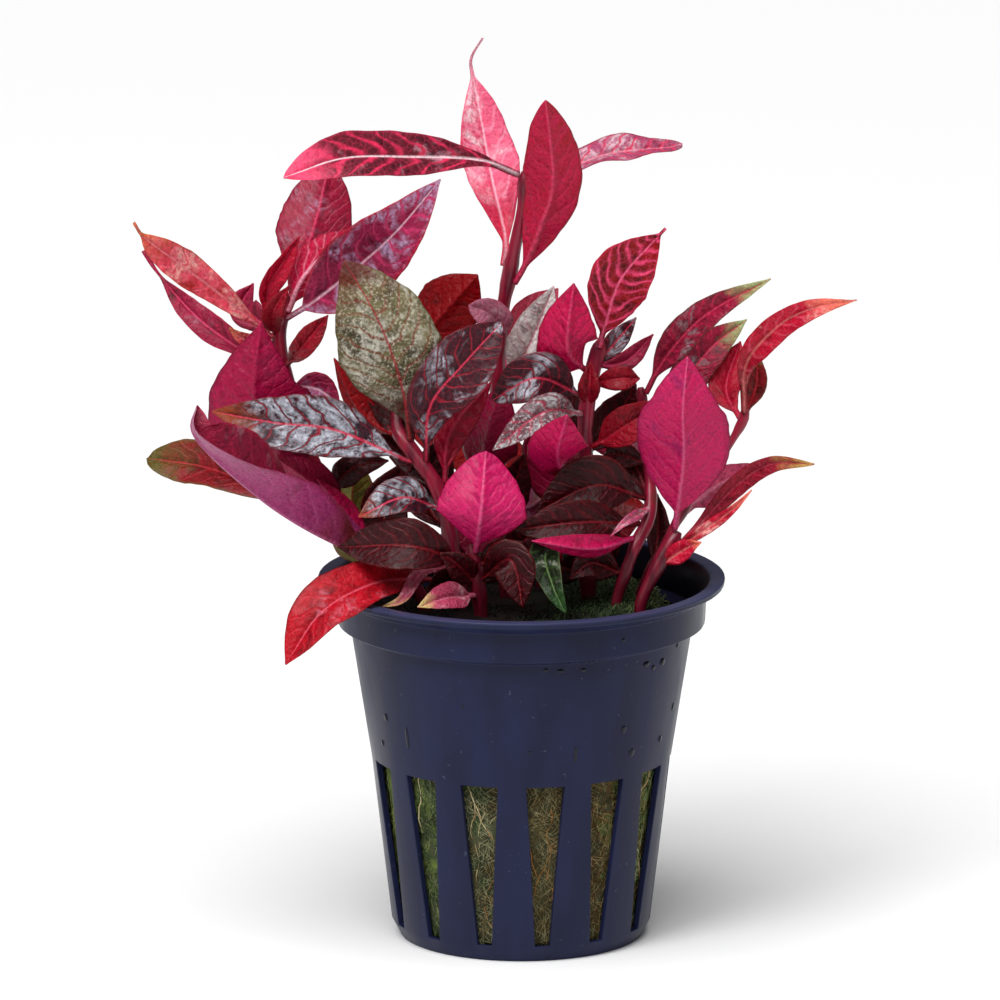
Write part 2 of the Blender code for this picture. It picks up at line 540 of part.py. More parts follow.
def build_wool(surface, paths):
    """The rock wool plug, with a dent at its right side and a socket for each stem."""
    loops = [wool_loop(radius, height) for radius, height in WOOL_RINGS]
    loops.append(wool_loop(WOOL_TOP_RING_RADIUS))
    wool = add_object("rock_wool", *loft(loops), surface)
    for stem in STEMS:
        foot = paths[stem.name].points[0]
        socket = socket_cutter("socket_" + stem.name, foot, stem.radius[0] + SOCKET_GAP, surface)
        combine(wool, socket, "DIFFERENCE")
    return wool


def socket_cutter(name, foot, radius, surface):
    """An upright prism around a stem's buried foot."""
    loops = []
    for height in (foot.z - SOCKET_GAP, foot.z + SOCKET_DEPTH):
        loops.append([(foot.x + radius * math.cos(math.tau * side / SOCKET_SIDES),
                       foot.y + radius * math.sin(math.tau * side / SOCKET_SIDES),
                       height) for side in range(SOCKET_SIDES)])
    return add_object(name, *loft(loops), surface)


def build_stem(stem, path, leaflets, surface):
    """A tapering stem with swollen joints where leaves grow, and its smallest leaves joined on."""
    joints = [path.share_at_height(leaf.height) for leaf in LEAVES if leaf.stem == stem.name]
    stations = max(STEM_STATIONS_LEAST, round(path.lengths[-1] / STEM_STATION_LENGTH))
    loops = []
    side_way = Vector((1.0, 0.0, 0.0))
    for station in range(stations + 1):
        share = station / stations
        centre, along = path.at(share)
        across = (side_way - along * side_way.dot(along)).normalized()
        third = along.cross(across)
        swell = sum(math.exp(-((share - joint) * path.lengths[-1] / NODE_LENGTH) ** 2)
                    for joint in joints)
        radius = stem_radius(stem, share) + NODE_SWELL * min(swell, 1.0)
        loops.append([centre + radius * (across * math.cos(math.tau * side / STEM_SIDES)
                                         + third * math.sin(math.tau * side / STEM_SIDES))
                      for side in range(STEM_SIDES)])
    made = add_object(stem.name, *loft(loops), surface)
    for leaflet in leaflets:
        combine(made, build_leaf(leaflet, stem, path, surface), "UNION")
    return made


def leaf_path(leaf, stem, path):
    """The path of a leaf's midrib, from just off its stem, or from inside it, to its tip."""
    share = path.share_at_height(leaf.height)
    centre, along = path.at(share)
    points = [seen_point(*point) for point in leaf.route]
    outward = points[0] - centre
    outward = (outward - along * outward.dot(along)).normalized()
    radius = stem_radius(stem, share) + NODE_SWELL
    start = 0.0 if leaf.fused else radius + LEAF_GAP + RIB_THICKNESS / 2
    return Path([centre + outward * start, *points])


def half_width(leaf, share):
    """Half the leaf's width at this share of its length: stalk, blade and thread-like tail."""
    along = (share - STALK_SHARE) / (1.0 - leaf.tail - STALK_SHARE)
    narrow = STALK_HALF if along < leaf.widest else TAIL_HALF if leaf.tail else TIP_HALF
    if not 0.0 < along < 1.0:
        return narrow
    if along < leaf.widest:
        blade = math.sin(math.pi / 2 * along / leaf.widest) ** BLADE_FULLNESS
    else:
        blade = math.cos(math.pi / 2 * (along - leaf.widest) / (1.0 - leaf.widest)) ** leaf.point
    return max(narrow, leaf.half * blade)


def leaf_point(leaf, path, share, across):
    """A point on the leaf's middle surface and its upward direction; across runs from -1 to 1."""
    centre, along = path.at(share)
    to_viewer = (VIEWPOINT - centre).normalized()
    facing = (to_viewer - along * to_viewer.dot(along)).normalized()
    turned = math.radians(leaf.turn + leaf.twist * share)
    upward = Matrix.Rotation(turned, 3, along) @ facing
    sideways = along.cross(upward)
    reach = abs(across) * half_width(leaf, share)
    start = math.radians(leaf.fold)
    end = start + math.radians(leaf.cup) * abs(across)
    if end - start > 1e-6:
        out = reach * (math.sin(end) - math.sin(start)) / (end - start)
        lift = reach * (math.cos(start) - math.cos(end)) / (end - start)
    else:
        out, lift = reach * math.cos(start), reach * math.sin(start)
    phase = RIPPLE_STARTS[across < 0]
    ripple = leaf.wave * across ** 2 * math.sin(math.tau * RIPPLE_TURNS * share + phase)
    side = math.copysign(1.0, across)
    point = centre + sideways * side * out + upward * (lift + ripple)
    normal = upward * math.cos(end) - sideways * side * math.sin(end) if across else upward
    return point, normal


def build_leaf(leaf, stem, path, surface):
    """A leaf as a thin closed blade, thickest along its midrib and sharp at its edges."""
    midrib = leaf_path(leaf, stem, path)
    wide = leaf.half >= WIDE_LEAF and not leaf.fused
    stations = WIDE_STATIONS if wide else FUSED_STATIONS if leaf.fused else NARROW_STATIONS
    inner = (-BEND_LINE, 0.0, BEND_LINE) if wide else (0.0,)
    loops = []
    for station in range(stations + 1):
        share = station / stations
        top, bottom = [], []
        for across in inner:
            point, normal = leaf_point(leaf, midrib, share, across)
            thickness = BLADE_THICKNESS if across else RIB_THICKNESS
            thickness *= 1.0 - TIP_THINNING * share ** 2
            top.append(point + normal * thickness / 2)
            bottom.append(point - normal * thickness / 2)
        left = leaf_point(leaf, midrib, share, -1.0)[0]
        right = leaf_point(leaf, midrib, share, 1.0)[0]
        loops.append([left, *top, right, *reversed(bottom)])
    return add_object(leaf.name, *loft(loops), surface)


def main():
    """Build every piece of the plant and its pot."""
    clear_scene()
    build_pot(material("pot_plastic", POT_NAVY, POT_ROUGHNESS))
    paths = {stem.name: stem_path(stem) for stem in STEMS}
    build_wool(material("rock_wool", WOOL_OLIVE, WOOL_ROUGHNESS), paths)
    for stem in STEMS:
        leaflets = [leaf for leaf in LEAVES if leaf.stem == stem.name and leaf.fused]
        build_stem(stem, paths[stem.name], leaflets, material(stem.name, MAROON, STEM_ROUGHNESS))
    stems = {stem.name: stem for stem in STEMS}
    for leaf in LEAVES:
        if not leaf.fused:
            surface = material(leaf.name, CRIMSON if leaf.turn > 90 else MAROON, LEAF_ROUGHNESS)
            build_leaf(leaf, stems[leaf.stem], paths[leaf.stem], surface)


main()
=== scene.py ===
"""Looks of a potted Alternanthera cardinalis, laid out as an add-on and run as a script.

The plant stands in the frame of its solids: metres, +Z up, its front towards -Y. Lengths in the
tables and in the mesh code are in millimetres and are turned into metres when a mesh is made.
"""

import json
import math
from functools import partial
from typing import NamedTuple

import bpy
from bpy.props import FloatProperty, FloatVectorProperty, IntProperty, PointerProperty
from mathutils import Matrix, Vector, noise


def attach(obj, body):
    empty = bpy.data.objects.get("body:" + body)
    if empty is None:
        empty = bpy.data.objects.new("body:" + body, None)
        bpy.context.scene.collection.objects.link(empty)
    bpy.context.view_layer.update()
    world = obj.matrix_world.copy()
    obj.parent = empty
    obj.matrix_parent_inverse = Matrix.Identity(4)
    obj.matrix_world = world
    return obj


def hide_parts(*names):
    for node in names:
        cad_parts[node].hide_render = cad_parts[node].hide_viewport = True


bl_info = {
    "name": "Potted Alternanthera",
    "version": (1, 0, 0),
    "blender": (4, 5, 0),
    "location": "3D View > Sidebar > Plant",
    "description": "Leaves, stems, rock wool and net pot of a potted aquarium plant",
    "category": "Add Mesh",
}

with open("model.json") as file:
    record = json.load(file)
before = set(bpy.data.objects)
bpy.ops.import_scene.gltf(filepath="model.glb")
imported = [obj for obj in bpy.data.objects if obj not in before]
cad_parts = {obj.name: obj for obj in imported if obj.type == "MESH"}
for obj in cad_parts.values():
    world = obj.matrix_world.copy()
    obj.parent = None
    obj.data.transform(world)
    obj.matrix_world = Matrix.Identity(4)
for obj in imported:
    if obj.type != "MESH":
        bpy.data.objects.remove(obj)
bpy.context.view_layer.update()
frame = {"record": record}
SLOTS = {part["node"]: part["material_slot"] for part in frame["record"]["subparts"]}
MM = 0.001

# Net pot
POT_WALL = 0.9
SLOT_COUNT = 14
SLOT_PITCH = math.tau / SLOT_COUNT
FIRST_SLOT = math.radians(9.2)
SLOT_HALF_BOTTOM = math.radians(3.25)
SLOT_HALF_TOP = math.radians(7.35)
FLOOR_DISC_RADIUS = 6.0
FLOOR_SLOT_END = 13.0
FLOOR_SLOT_HALF_WIDTH = 0.7
# Each ring of the pot: outer radius, outer height, inner radius, inner height.
SLOT_BOTTOM_RING = (17.6, 2.3, 16.7, 2.3)
SLOT_TOP_RING = (20.3, 25.0, 19.4, 25.0)
POT_RINGS = (
    (FLOOR_DISC_RADIUS, 0.0, FLOOR_DISC_RADIUS, POT_WALL),
    (FLOOR_SLOT_END, 0.0, FLOOR_SLOT_END, POT_WALL),
    (16.4, 0.0, 15.9, POT_WALL),
    SLOT_BOTTOM_RING,
    (18.95, 13.65, 18.05, 13.65),
    SLOT_TOP_RING,
    (21.7, 33.85, 20.8, 34.3),
    (23.1, 42.7, 22.2, 43.6),
    (24.8, 43.3, 23.9, 44.2),
    (25.0, 47.4, 24.1, 47.5),
    (27.4, 48.6, 25.5, 49.3),
    (27.5, 49.4, 26.0, 49.4),
)
RIB_COLUMNS = (0.0, 0.34, 0.68)
SLOT_COLUMNS = (-1.0, -0.33, 0.33, 1.0)

# Rock wool plug
WOOL_TOP_MEAN = 46.2
WOOL_RISE_RIGHT = 0.045
WOOL_RISE_FRONT = 0.05
WOOL_LUMP_HEIGHT = 0.5
WOOL_LUMP_PITCH = (0.37, 0.31)
WOOL_LUMP_START = 1.1
WOOL_SIDE = ((15.3, 1.25), (16.3, 2.3), (19.0, 25.0), (21.0, 39.0), (21.3, 43.0), (20.9, 44.2))
WOOL_DENT_DEPTH = 2.5
WOOL_DENT_HALF = math.radians(24.0)
WOOL_DENT_START = 25.0
WOOL_DENT_FULL = 39.0
WOOL_TOP_RINGS = 15
# How far the noise lifts the top, in millimetres, and moves the side, as a share of its radius.
WOOL_TOP_NOISE = 0.55
WOOL_SIDE_NOISE = 0.02
WOOL_SIDE_SUNK = 0.014
WOOL_NOISE_PITCH = 0.55
WOOL_NOISE_DRAWN = 0.35
# How far in from the pot's inner wall the fibres and roots may lie.
FIBRE_BAND = 0.55

# Where the moss starts, from bare wool at the left, and where it covers the wool in full.
MOSS_START = 3.0
MOSS_FULL = 9.0
# Colours of the wool from its left to its right side, each with its place on the ramp.
BED_TONES = ((0.16, "6a7a3a"), (0.3, "36432c"), (0.42, "4a4a34"), (0.52, "4c4228"),
             (0.6, "454632"), (0.7, "5a4426"), (0.8, "4e6034"), (0.9, "7c8c58"))
TOP_TONES = ((0.3, "120608"), (0.5, "180a0a"), (0.66, "1a2418"), (0.85, "24301c"))
THREAD_TONES = ((0.16, "9aa468"), (0.3, "66764c"), (0.42, "a09c78"), (0.52, "8e7c50"),
                (0.6, "8c8a64"), (0.7, "a88c5c"), (0.8, "94a46c"), (0.9, "c8cca0"))
ROOT_TONES = ((0.3, "c8bc90"), (0.5, "8e5a26"), (0.7, "b98a4c"), (0.85, "d8d0b4"))
MOSS_TONES = ((0.2, "141c10"), (0.5, "1a2416"), (0.7, "2c3a20"), (0.9, "66744c"))

# Drops on the pot: degrees round from the front, height, half width and half height.
DROPS = (
    (56.0, 40.6, 0.5, 0.55), (47.0, 41.0, 0.6, 0.4), (51.0, 40.2, 0.4, 0.4),
    (65.7, 42.2, 0.4, 0.45), (8.0, 41.9, 0.35, 0.3), (13.0, 41.7, 0.5, 0.3),
    (21.0, 41.6, 0.4, 0.3), (39.5, 32.2, 0.45, 0.6), (44.9, 28.6, 0.5, 0.6),
    (62.8, 29.2, 0.4, 0.5), (71.0, 33.0, 0.4, 0.6), (-58.0, 32.6, 0.45, 0.55),
    (-63.7, 28.5, 0.35, 0.45), (-46.5, 30.6, 0.3, 1.6), (20.0, 29.6, 0.28, 1.2),
    (33.0, 45.6, 0.3, 0.3), (-21.0, 36.4, 0.2, 0.25), (3.0, 30.2, 0.2, 0.2),
)
# How far a drop stands out, as a share of its half width.
DROP_BULGE = 0.4

# Stems
# Height above the wool over which the painted shade on the stems' feet fades out.
FOOT_SHADE_HEIGHT = 14.0
STEM_BURIED = 2.4
NODE_SWELL = 0.22
NODE_LENGTH = 1.6
STEM_STEP = 0.8
STEM_END_LENGTH = 1.2
STEM_END_NARROWING = 0.5

# Leaves
LEAF_GAP = 0.3
RIB_THICKNESS = 0.62
BLADE_THICKNESS = 0.26
TIP_THINNING = 0.6
STALK_SHARE = 0.1
STALK_HALF = 0.42
TAIL_HALF = 0.22
TIP_HALF = 0.12
BLADE_FULLNESS = 0.85
RIPPLE_TURNS = 2.75
RIPPLE_STARTS = (0.8, 3.3)
BLADE_COLUMNS = (0.0, 0.035, 0.09, 0.17, 0.28, 0.41, 0.54, 0.67, 0.79, 0.89, 0.96, 1.0)
LEAFLET_COLUMNS = (0.0, 0.08, 0.22, 0.42, 0.64, 0.85, 1.0)
PATTERN_SHIFT = 137.0
# Noise over a leaf has a pitch along it, a shift for each seed and a pitch across it. The edge
# wanders by shares of the width, the blade buckles by a share of its half width, and the side
# veins stray by a share of their spacing.
EDGE_NOISES = ((0.07, (6.0, 1.7, 1.0)), (0.04, (19.0, 3.1, 1.0)))
BUCKLE = 0.055
BUCKLE_NOISE = (4.5, 1.3, 1.4)
VEIN_STRAY = 0.5
VEIN_NOISE = (5.0, 2.3, 2.0)
# Side veins lean towards the tip by this much for each millimetre out, and more near the edge.
VEIN_LEAN = 0.75
VEIN_CURVE = 0.5
# Half the width of the midrib's thickening and of the groove above it.
RIB_HALF = 0.42
GROOVE_HALF = 0.36

# The point that the plant is drawn from. A route's points are (x, z, back): x and z are where the
# point shows in the upright plane through the pot's axis, and back is how far it lies behind that
# plane along the line of sight (negative is nearer).
VIEWPOINT = Vector((-2.9, -1559.0, 419.9))
LOOK_AT = Vector((-2.9, 0.0, 59.95))


class Stem(NamedTuple):
    """A stem: where it stands in the wool, its radius at foot and top, and the points it passes."""

    name: str
    foot: tuple
    radius: tuple
    route: tuple


class Leaf(NamedTuple):
    """A leaf: the height it grows at, the points of its midrib, half its width and its look.

    turn is 0 where the upper side shows, 90 edge-on and 180 where the underside shows, twist its
    change along the leaf, fold the lift of each half at the midrib and cup the further bend from
    midrib to edge, all in degrees. widest is how far along the blade it is broadest, point how
    sharply it narrows to the tip, tail the share of the length that is a thread, and wave the
    height of the ripples at the edges. on is the stem of a leaf that isn't named for its stem.
    """

    name: str
    height: float
    route: tuple
    half: float
    look: str
    turn: float = 0.0
    twist: float = 0.0
    fold: float = 12.0
    cup: float = 10.0
    widest: float = 0.45
    point: float = 0.9
    tail: float = 0.0
    wave: float = 0.0
    on: str = ""

    @property
    def stem(self):
        """The name of the stem that carries the leaf."""
        return self.on or "stem_" + self.name.split("_")[1]

    @property
    def fused(self):
        """Whether the leaf is one solid with its stem, as the leaflets are."""
        return self.name.startswith("leaflet")


class Skin(NamedTuple):
    """The look of one side of a leaf: colours in sRGB hex, shares from 0 to 1.

    colours are those of the panels between veins, the dark pigment, the side veins, the midrib and
    the edge, and tip and base those of the blade's ends where they differ. On some skins the
    midrib's pale colour is a painted highlight along it. patchy is how much of the blade the dark
    pigment covers, veined and ribbed how strongly the side veins and the midrib show, spread the
    half width of a side vein as a share of their spacing, the sheen share and colour how much of
    the blade carries a painted sheen, pale patches that stand in for the gloss reflection between
    the veins, and in what colour, speckle how much carries flecks of that colour, and gloss the
    roughness of the surface.
    """

    colours: str
    tip: str = ""
    base: str = ""
    patchy: float = 0.5
    veined: float = 0.7
    ribbed: float = 0.85
    spread: float = 0.26
    glaze: float = 0.0
    glazed: str = "c2c4cf"
    speckle: float = 0.0
    gloss: float = 0.3


SKINS = {
    "crimson_under": Skin("b4103c 9d0d1f c83054 dc4c70 8c0818", veined=0.3, ribbed=0.5),
    "grey_crimson_under": Skin("921434 641026 a83454 d8285c 7c1030", base="d81c4c", veined=0.3,
        ribbed=0.5, glaze=0.3, glazed="a47890"),
    "pink_ribbed_under": Skin("c01040 8c0828 e88ca4 f0a8bc a0102c", veined=0.6),
    "greyed_rose_under": Skin("a83858 802038 c05878 d07890 8c2038", veined=0.3, ribbed=0.45,
        glaze=0.4, glazed="c8a0b0"),
    "dark_crimson_under": Skin("980a3c 700a34 98204a a42850 5c0628", base="4c0620", veined=0.12,
        ribbed=0.2),
    "shaded_under": Skin("8e0a28 5e0618 a01838 a82848 6c0618", veined=0.2, ribbed=0.35),
    "magenta_under": Skin("b80a4c 900838 c42860 d05084 8c082c", veined=0.15, ribbed=0.4),
    "pink_under": Skin("bc1458 960a46 cc3c70 dc6490 a80c44", veined=0.16, ribbed=0.45),
    "cerise_under": Skin("b40a44 8a0632 c02450 cc4870 8a0428", veined=0.15, ribbed=0.4),
    "purple_pink_under": Skin("b81452 901a54 c83a70 dc6c94 7c0c3c", veined=0.2, ribbed=0.45),
    "mauve_under": Skin("9a3068 7c1c4c ac4c80 b8608c 84183c", base="7c3018", veined=0.3,
        ribbed=0.4),
    "red_under": Skin("90040e 600206 a00a18 ac1824 6a0408", veined=0.2, ribbed=0.4),
    "olive_under": Skin("6c7030 404a22 84602e 742018 7c3830", veined=0.4),
    # Its near-white midrib colour is a painted highlight along the midrib.
    "veined_maroon": Skin("6a1c2c 40101c e8305c f8d8e0 a02040", tip="f24c74", veined=0.95,
        ribbed=0.95, spread=0.34, patchy=0.62, glaze=0.35, glazed="d8a0b0"),
    "pale_rose": Skin("e85c80 c02048 f8a0b8 fab8c8 dc3460", tip="f8a8bc", base="d81040",
        veined=0.55, glaze=0.6, glazed="f4d0d8"),
    "striped_mauve": Skin("a4486a 74283e e03a5e e88ca2 94243f", veined=0.95, spread=0.3, glaze=0.6,
        glazed="dcbcc6"),
    "rose_grey": Skin("b06a80 8c4058 c85070 d890a4 a04058", veined=0.4, glaze=0.5, glazed="e0c8d0"),
    "pale_grey": Skin("dcd2d0 74585c c06078 d08090 6c3c44", veined=0.45, glaze=0.8, glazed="ececea",
        speckle=0.6, patchy=0.6),
    "grey_speckled": Skin("6c4c52 34202a c03454 d04c68 6c2834", veined=0.7, glaze=0.9,
        glazed="d0d0d2", speckle=0.7),
    # Its near-white midrib colour is a painted highlight along the midrib.
    "purple_gloss": Skin("8a1840 4c0c28 d0386c f0c0d0 b80818", veined=0.65, glaze=0.75,
        glazed="b89cc0"),
    "brown_patched": Skin("e0485c a02018 f07888 f49098 b83c18", tip="c8641c", patchy=0.6,
        veined=0.5, glaze=0.6, glazed="f8b8b0"),
    "dark_maroon": Skin("8c1438 4c0c18 b02048 d04068 a01838", veined=0.6, glaze=0.2,
        glazed="a88090"),
    "deep_red": Skin("86051a 500410 a41230 b8283c 700810", veined=0.4, ribbed=0.6),
    "rich_red": Skin("b00a2c 7a0418 d02048 dc4060 8c0820", veined=0.5, ribbed=0.6),
    "rose_pink": Skin("e0506c b02848 f08098 f8a8b8 c02848", veined=0.5),
    "bright_red": Skin("b0081c 6c0410 c82034 dc5064 7c0812", base="5c0612", veined=0.5, glaze=0.4,
        glazed="cc6c7c", patchy=0.6),
    # Near-black red of leaves deep in the plant: their own dark red, darkened further as painted
    # shade.
    "black_red": Skin("34040a 140204 700e1c 84141f 500608", veined=0.4, ribbed=0.65, glaze=0.1,
        glazed="7c5c60"),
    "olive_edged": Skin("7c1018 4c1410 a01c28 b02430 54501f", veined=0.5, tip="54501f", patchy=0.6),
    "olive_mottled": Skin("7a7450 2c2a16 961c2a a62432 4a4a20", tip="5c1c14", base="3c0e08",
        veined=0.6, spread=0.17, patchy=0.8, speckle=0.7, glaze=0.9, glazed="ccc8b8"),
    "silver_glazed": Skin("2c1420 120810 a8182f dc3c5a 5c1418", tip="8c3a18", veined=0.75,
        spread=0.14, glaze=0.9, glazed="c4c8d4"),
    "silver_veined": Skin("38101c 14060c a41830 d83454 5c1420", veined=0.75, spread=0.15,
        glaze=0.62, glazed="bcbcc8"),
    "pink_veined": Skin("8c0a10 4a0408 f04878 f86c94 c01c40", veined=0.95, spread=0.4, patchy=0.62),
    "pink_grey": Skin("a83c58 7c1430 b8506c cc6c84 84203c", tip="c8b070", veined=0.5, glaze=0.6,
        glazed="d4a8b0"),
    "purple_olive": Skin("8c1434 4c1420 c02048 d03c5c 3c3420", tip="9cac74", veined=0.6, glaze=0.45,
        glazed="9c9298", patchy=0.6),
    "flame": Skin("c00c30 84081c ee5c74 fc9490 a41024", tip="f68068", base="7c0418", veined=0.55,
        ribbed=0.6, glaze=0.5, glazed="f8b0a8"),
    "yellow_tipped": Skin("8c1028 5c0a18 b02c40 c04458 780e1c", tip="b48c48", veined=0.45),
    "withered_green": Skin("16200f 080c07 3c5a28 5c7444 5c6440", tip="2c4c24", veined=0.4,
        glaze=0.3, glazed="c8d4b8", patchy=0.7),
}
HIDDEN_UPPER = "dark_maroon"
HIDDEN_UNDER = "crimson_under"

STEMS = (
    Stem("stem_tall", (-2.0, 3.0), (1.05, 0.8), (
        (-3.2, 58.3, 4), (-3.4, 72.4, 5), (-2.7, 84.6, 4), (-1.7, 90.6, 3.5), (-0.7, 95.7, 3),
        (0.2, 100.2, 3), (0.5, 105.1, 3))),
    Stem("stem_left", (-13.2, -4.0), (1.0, 0.75), (
        (-17, 50.7, -3.5), (-23.5, 57.3, -1.5), (-28, 65.4, 1), (-31.3, 75.5, 2.2),
        (-32.6, 82.5, 2.2), (-31.3, 88.1, 2.2))),
    Stem("stem_centre", (-8.0, -8.0), (1.0, 0.75), (
        (-9.5, 54.2, -8), (-11.2, 61.3, -8), (-14.5, 66.4, -6.5), (-16.8, 70.4, -4.5),
        (-15.8, 77.5, 1))),
    Stem("stem_right", (9.0, -3.0), (1.05, 0.85), (
        (8.7, 60.3, -2.5), (8.5, 69.4, -2.5), (9.3, 76.5, -2), (10.7, 82, -1))),
    Stem("stem_thin", (16.0, -4.5), (0.62, 0.48), (
        (19, 53.2, -5), (22, 58.8, -5), (26.6, 65.4, -4), (29.7, 70.7, -3), (30.1, 72.9, -3))),
    Stem("stem_red", (12.8, -9.5), (0.75, 0.6), (
        (15.2, 53.2, -8.5), (17.3, 58.3, -5), (17, 66.4, -2), (16, 75.5, -1))),
    Stem("stem_front", (-5.5, -12.0), (0.95, 0.8), ((-6.2, 50.2, -12.5), (-6.8, 53.7, -12.5))),
    Stem("stem_stub", (16.0, -10.0), (0.85, 0.8), ((18.9, 51.7, -8.8), (21.2, 55.6, -8))),
    Stem("stem_back", (3.0, 10.0), (1.0, 0.8), ((4, 60.3, 12), (4.5, 74.4, 11), (4.8, 79.5, 10))),
)

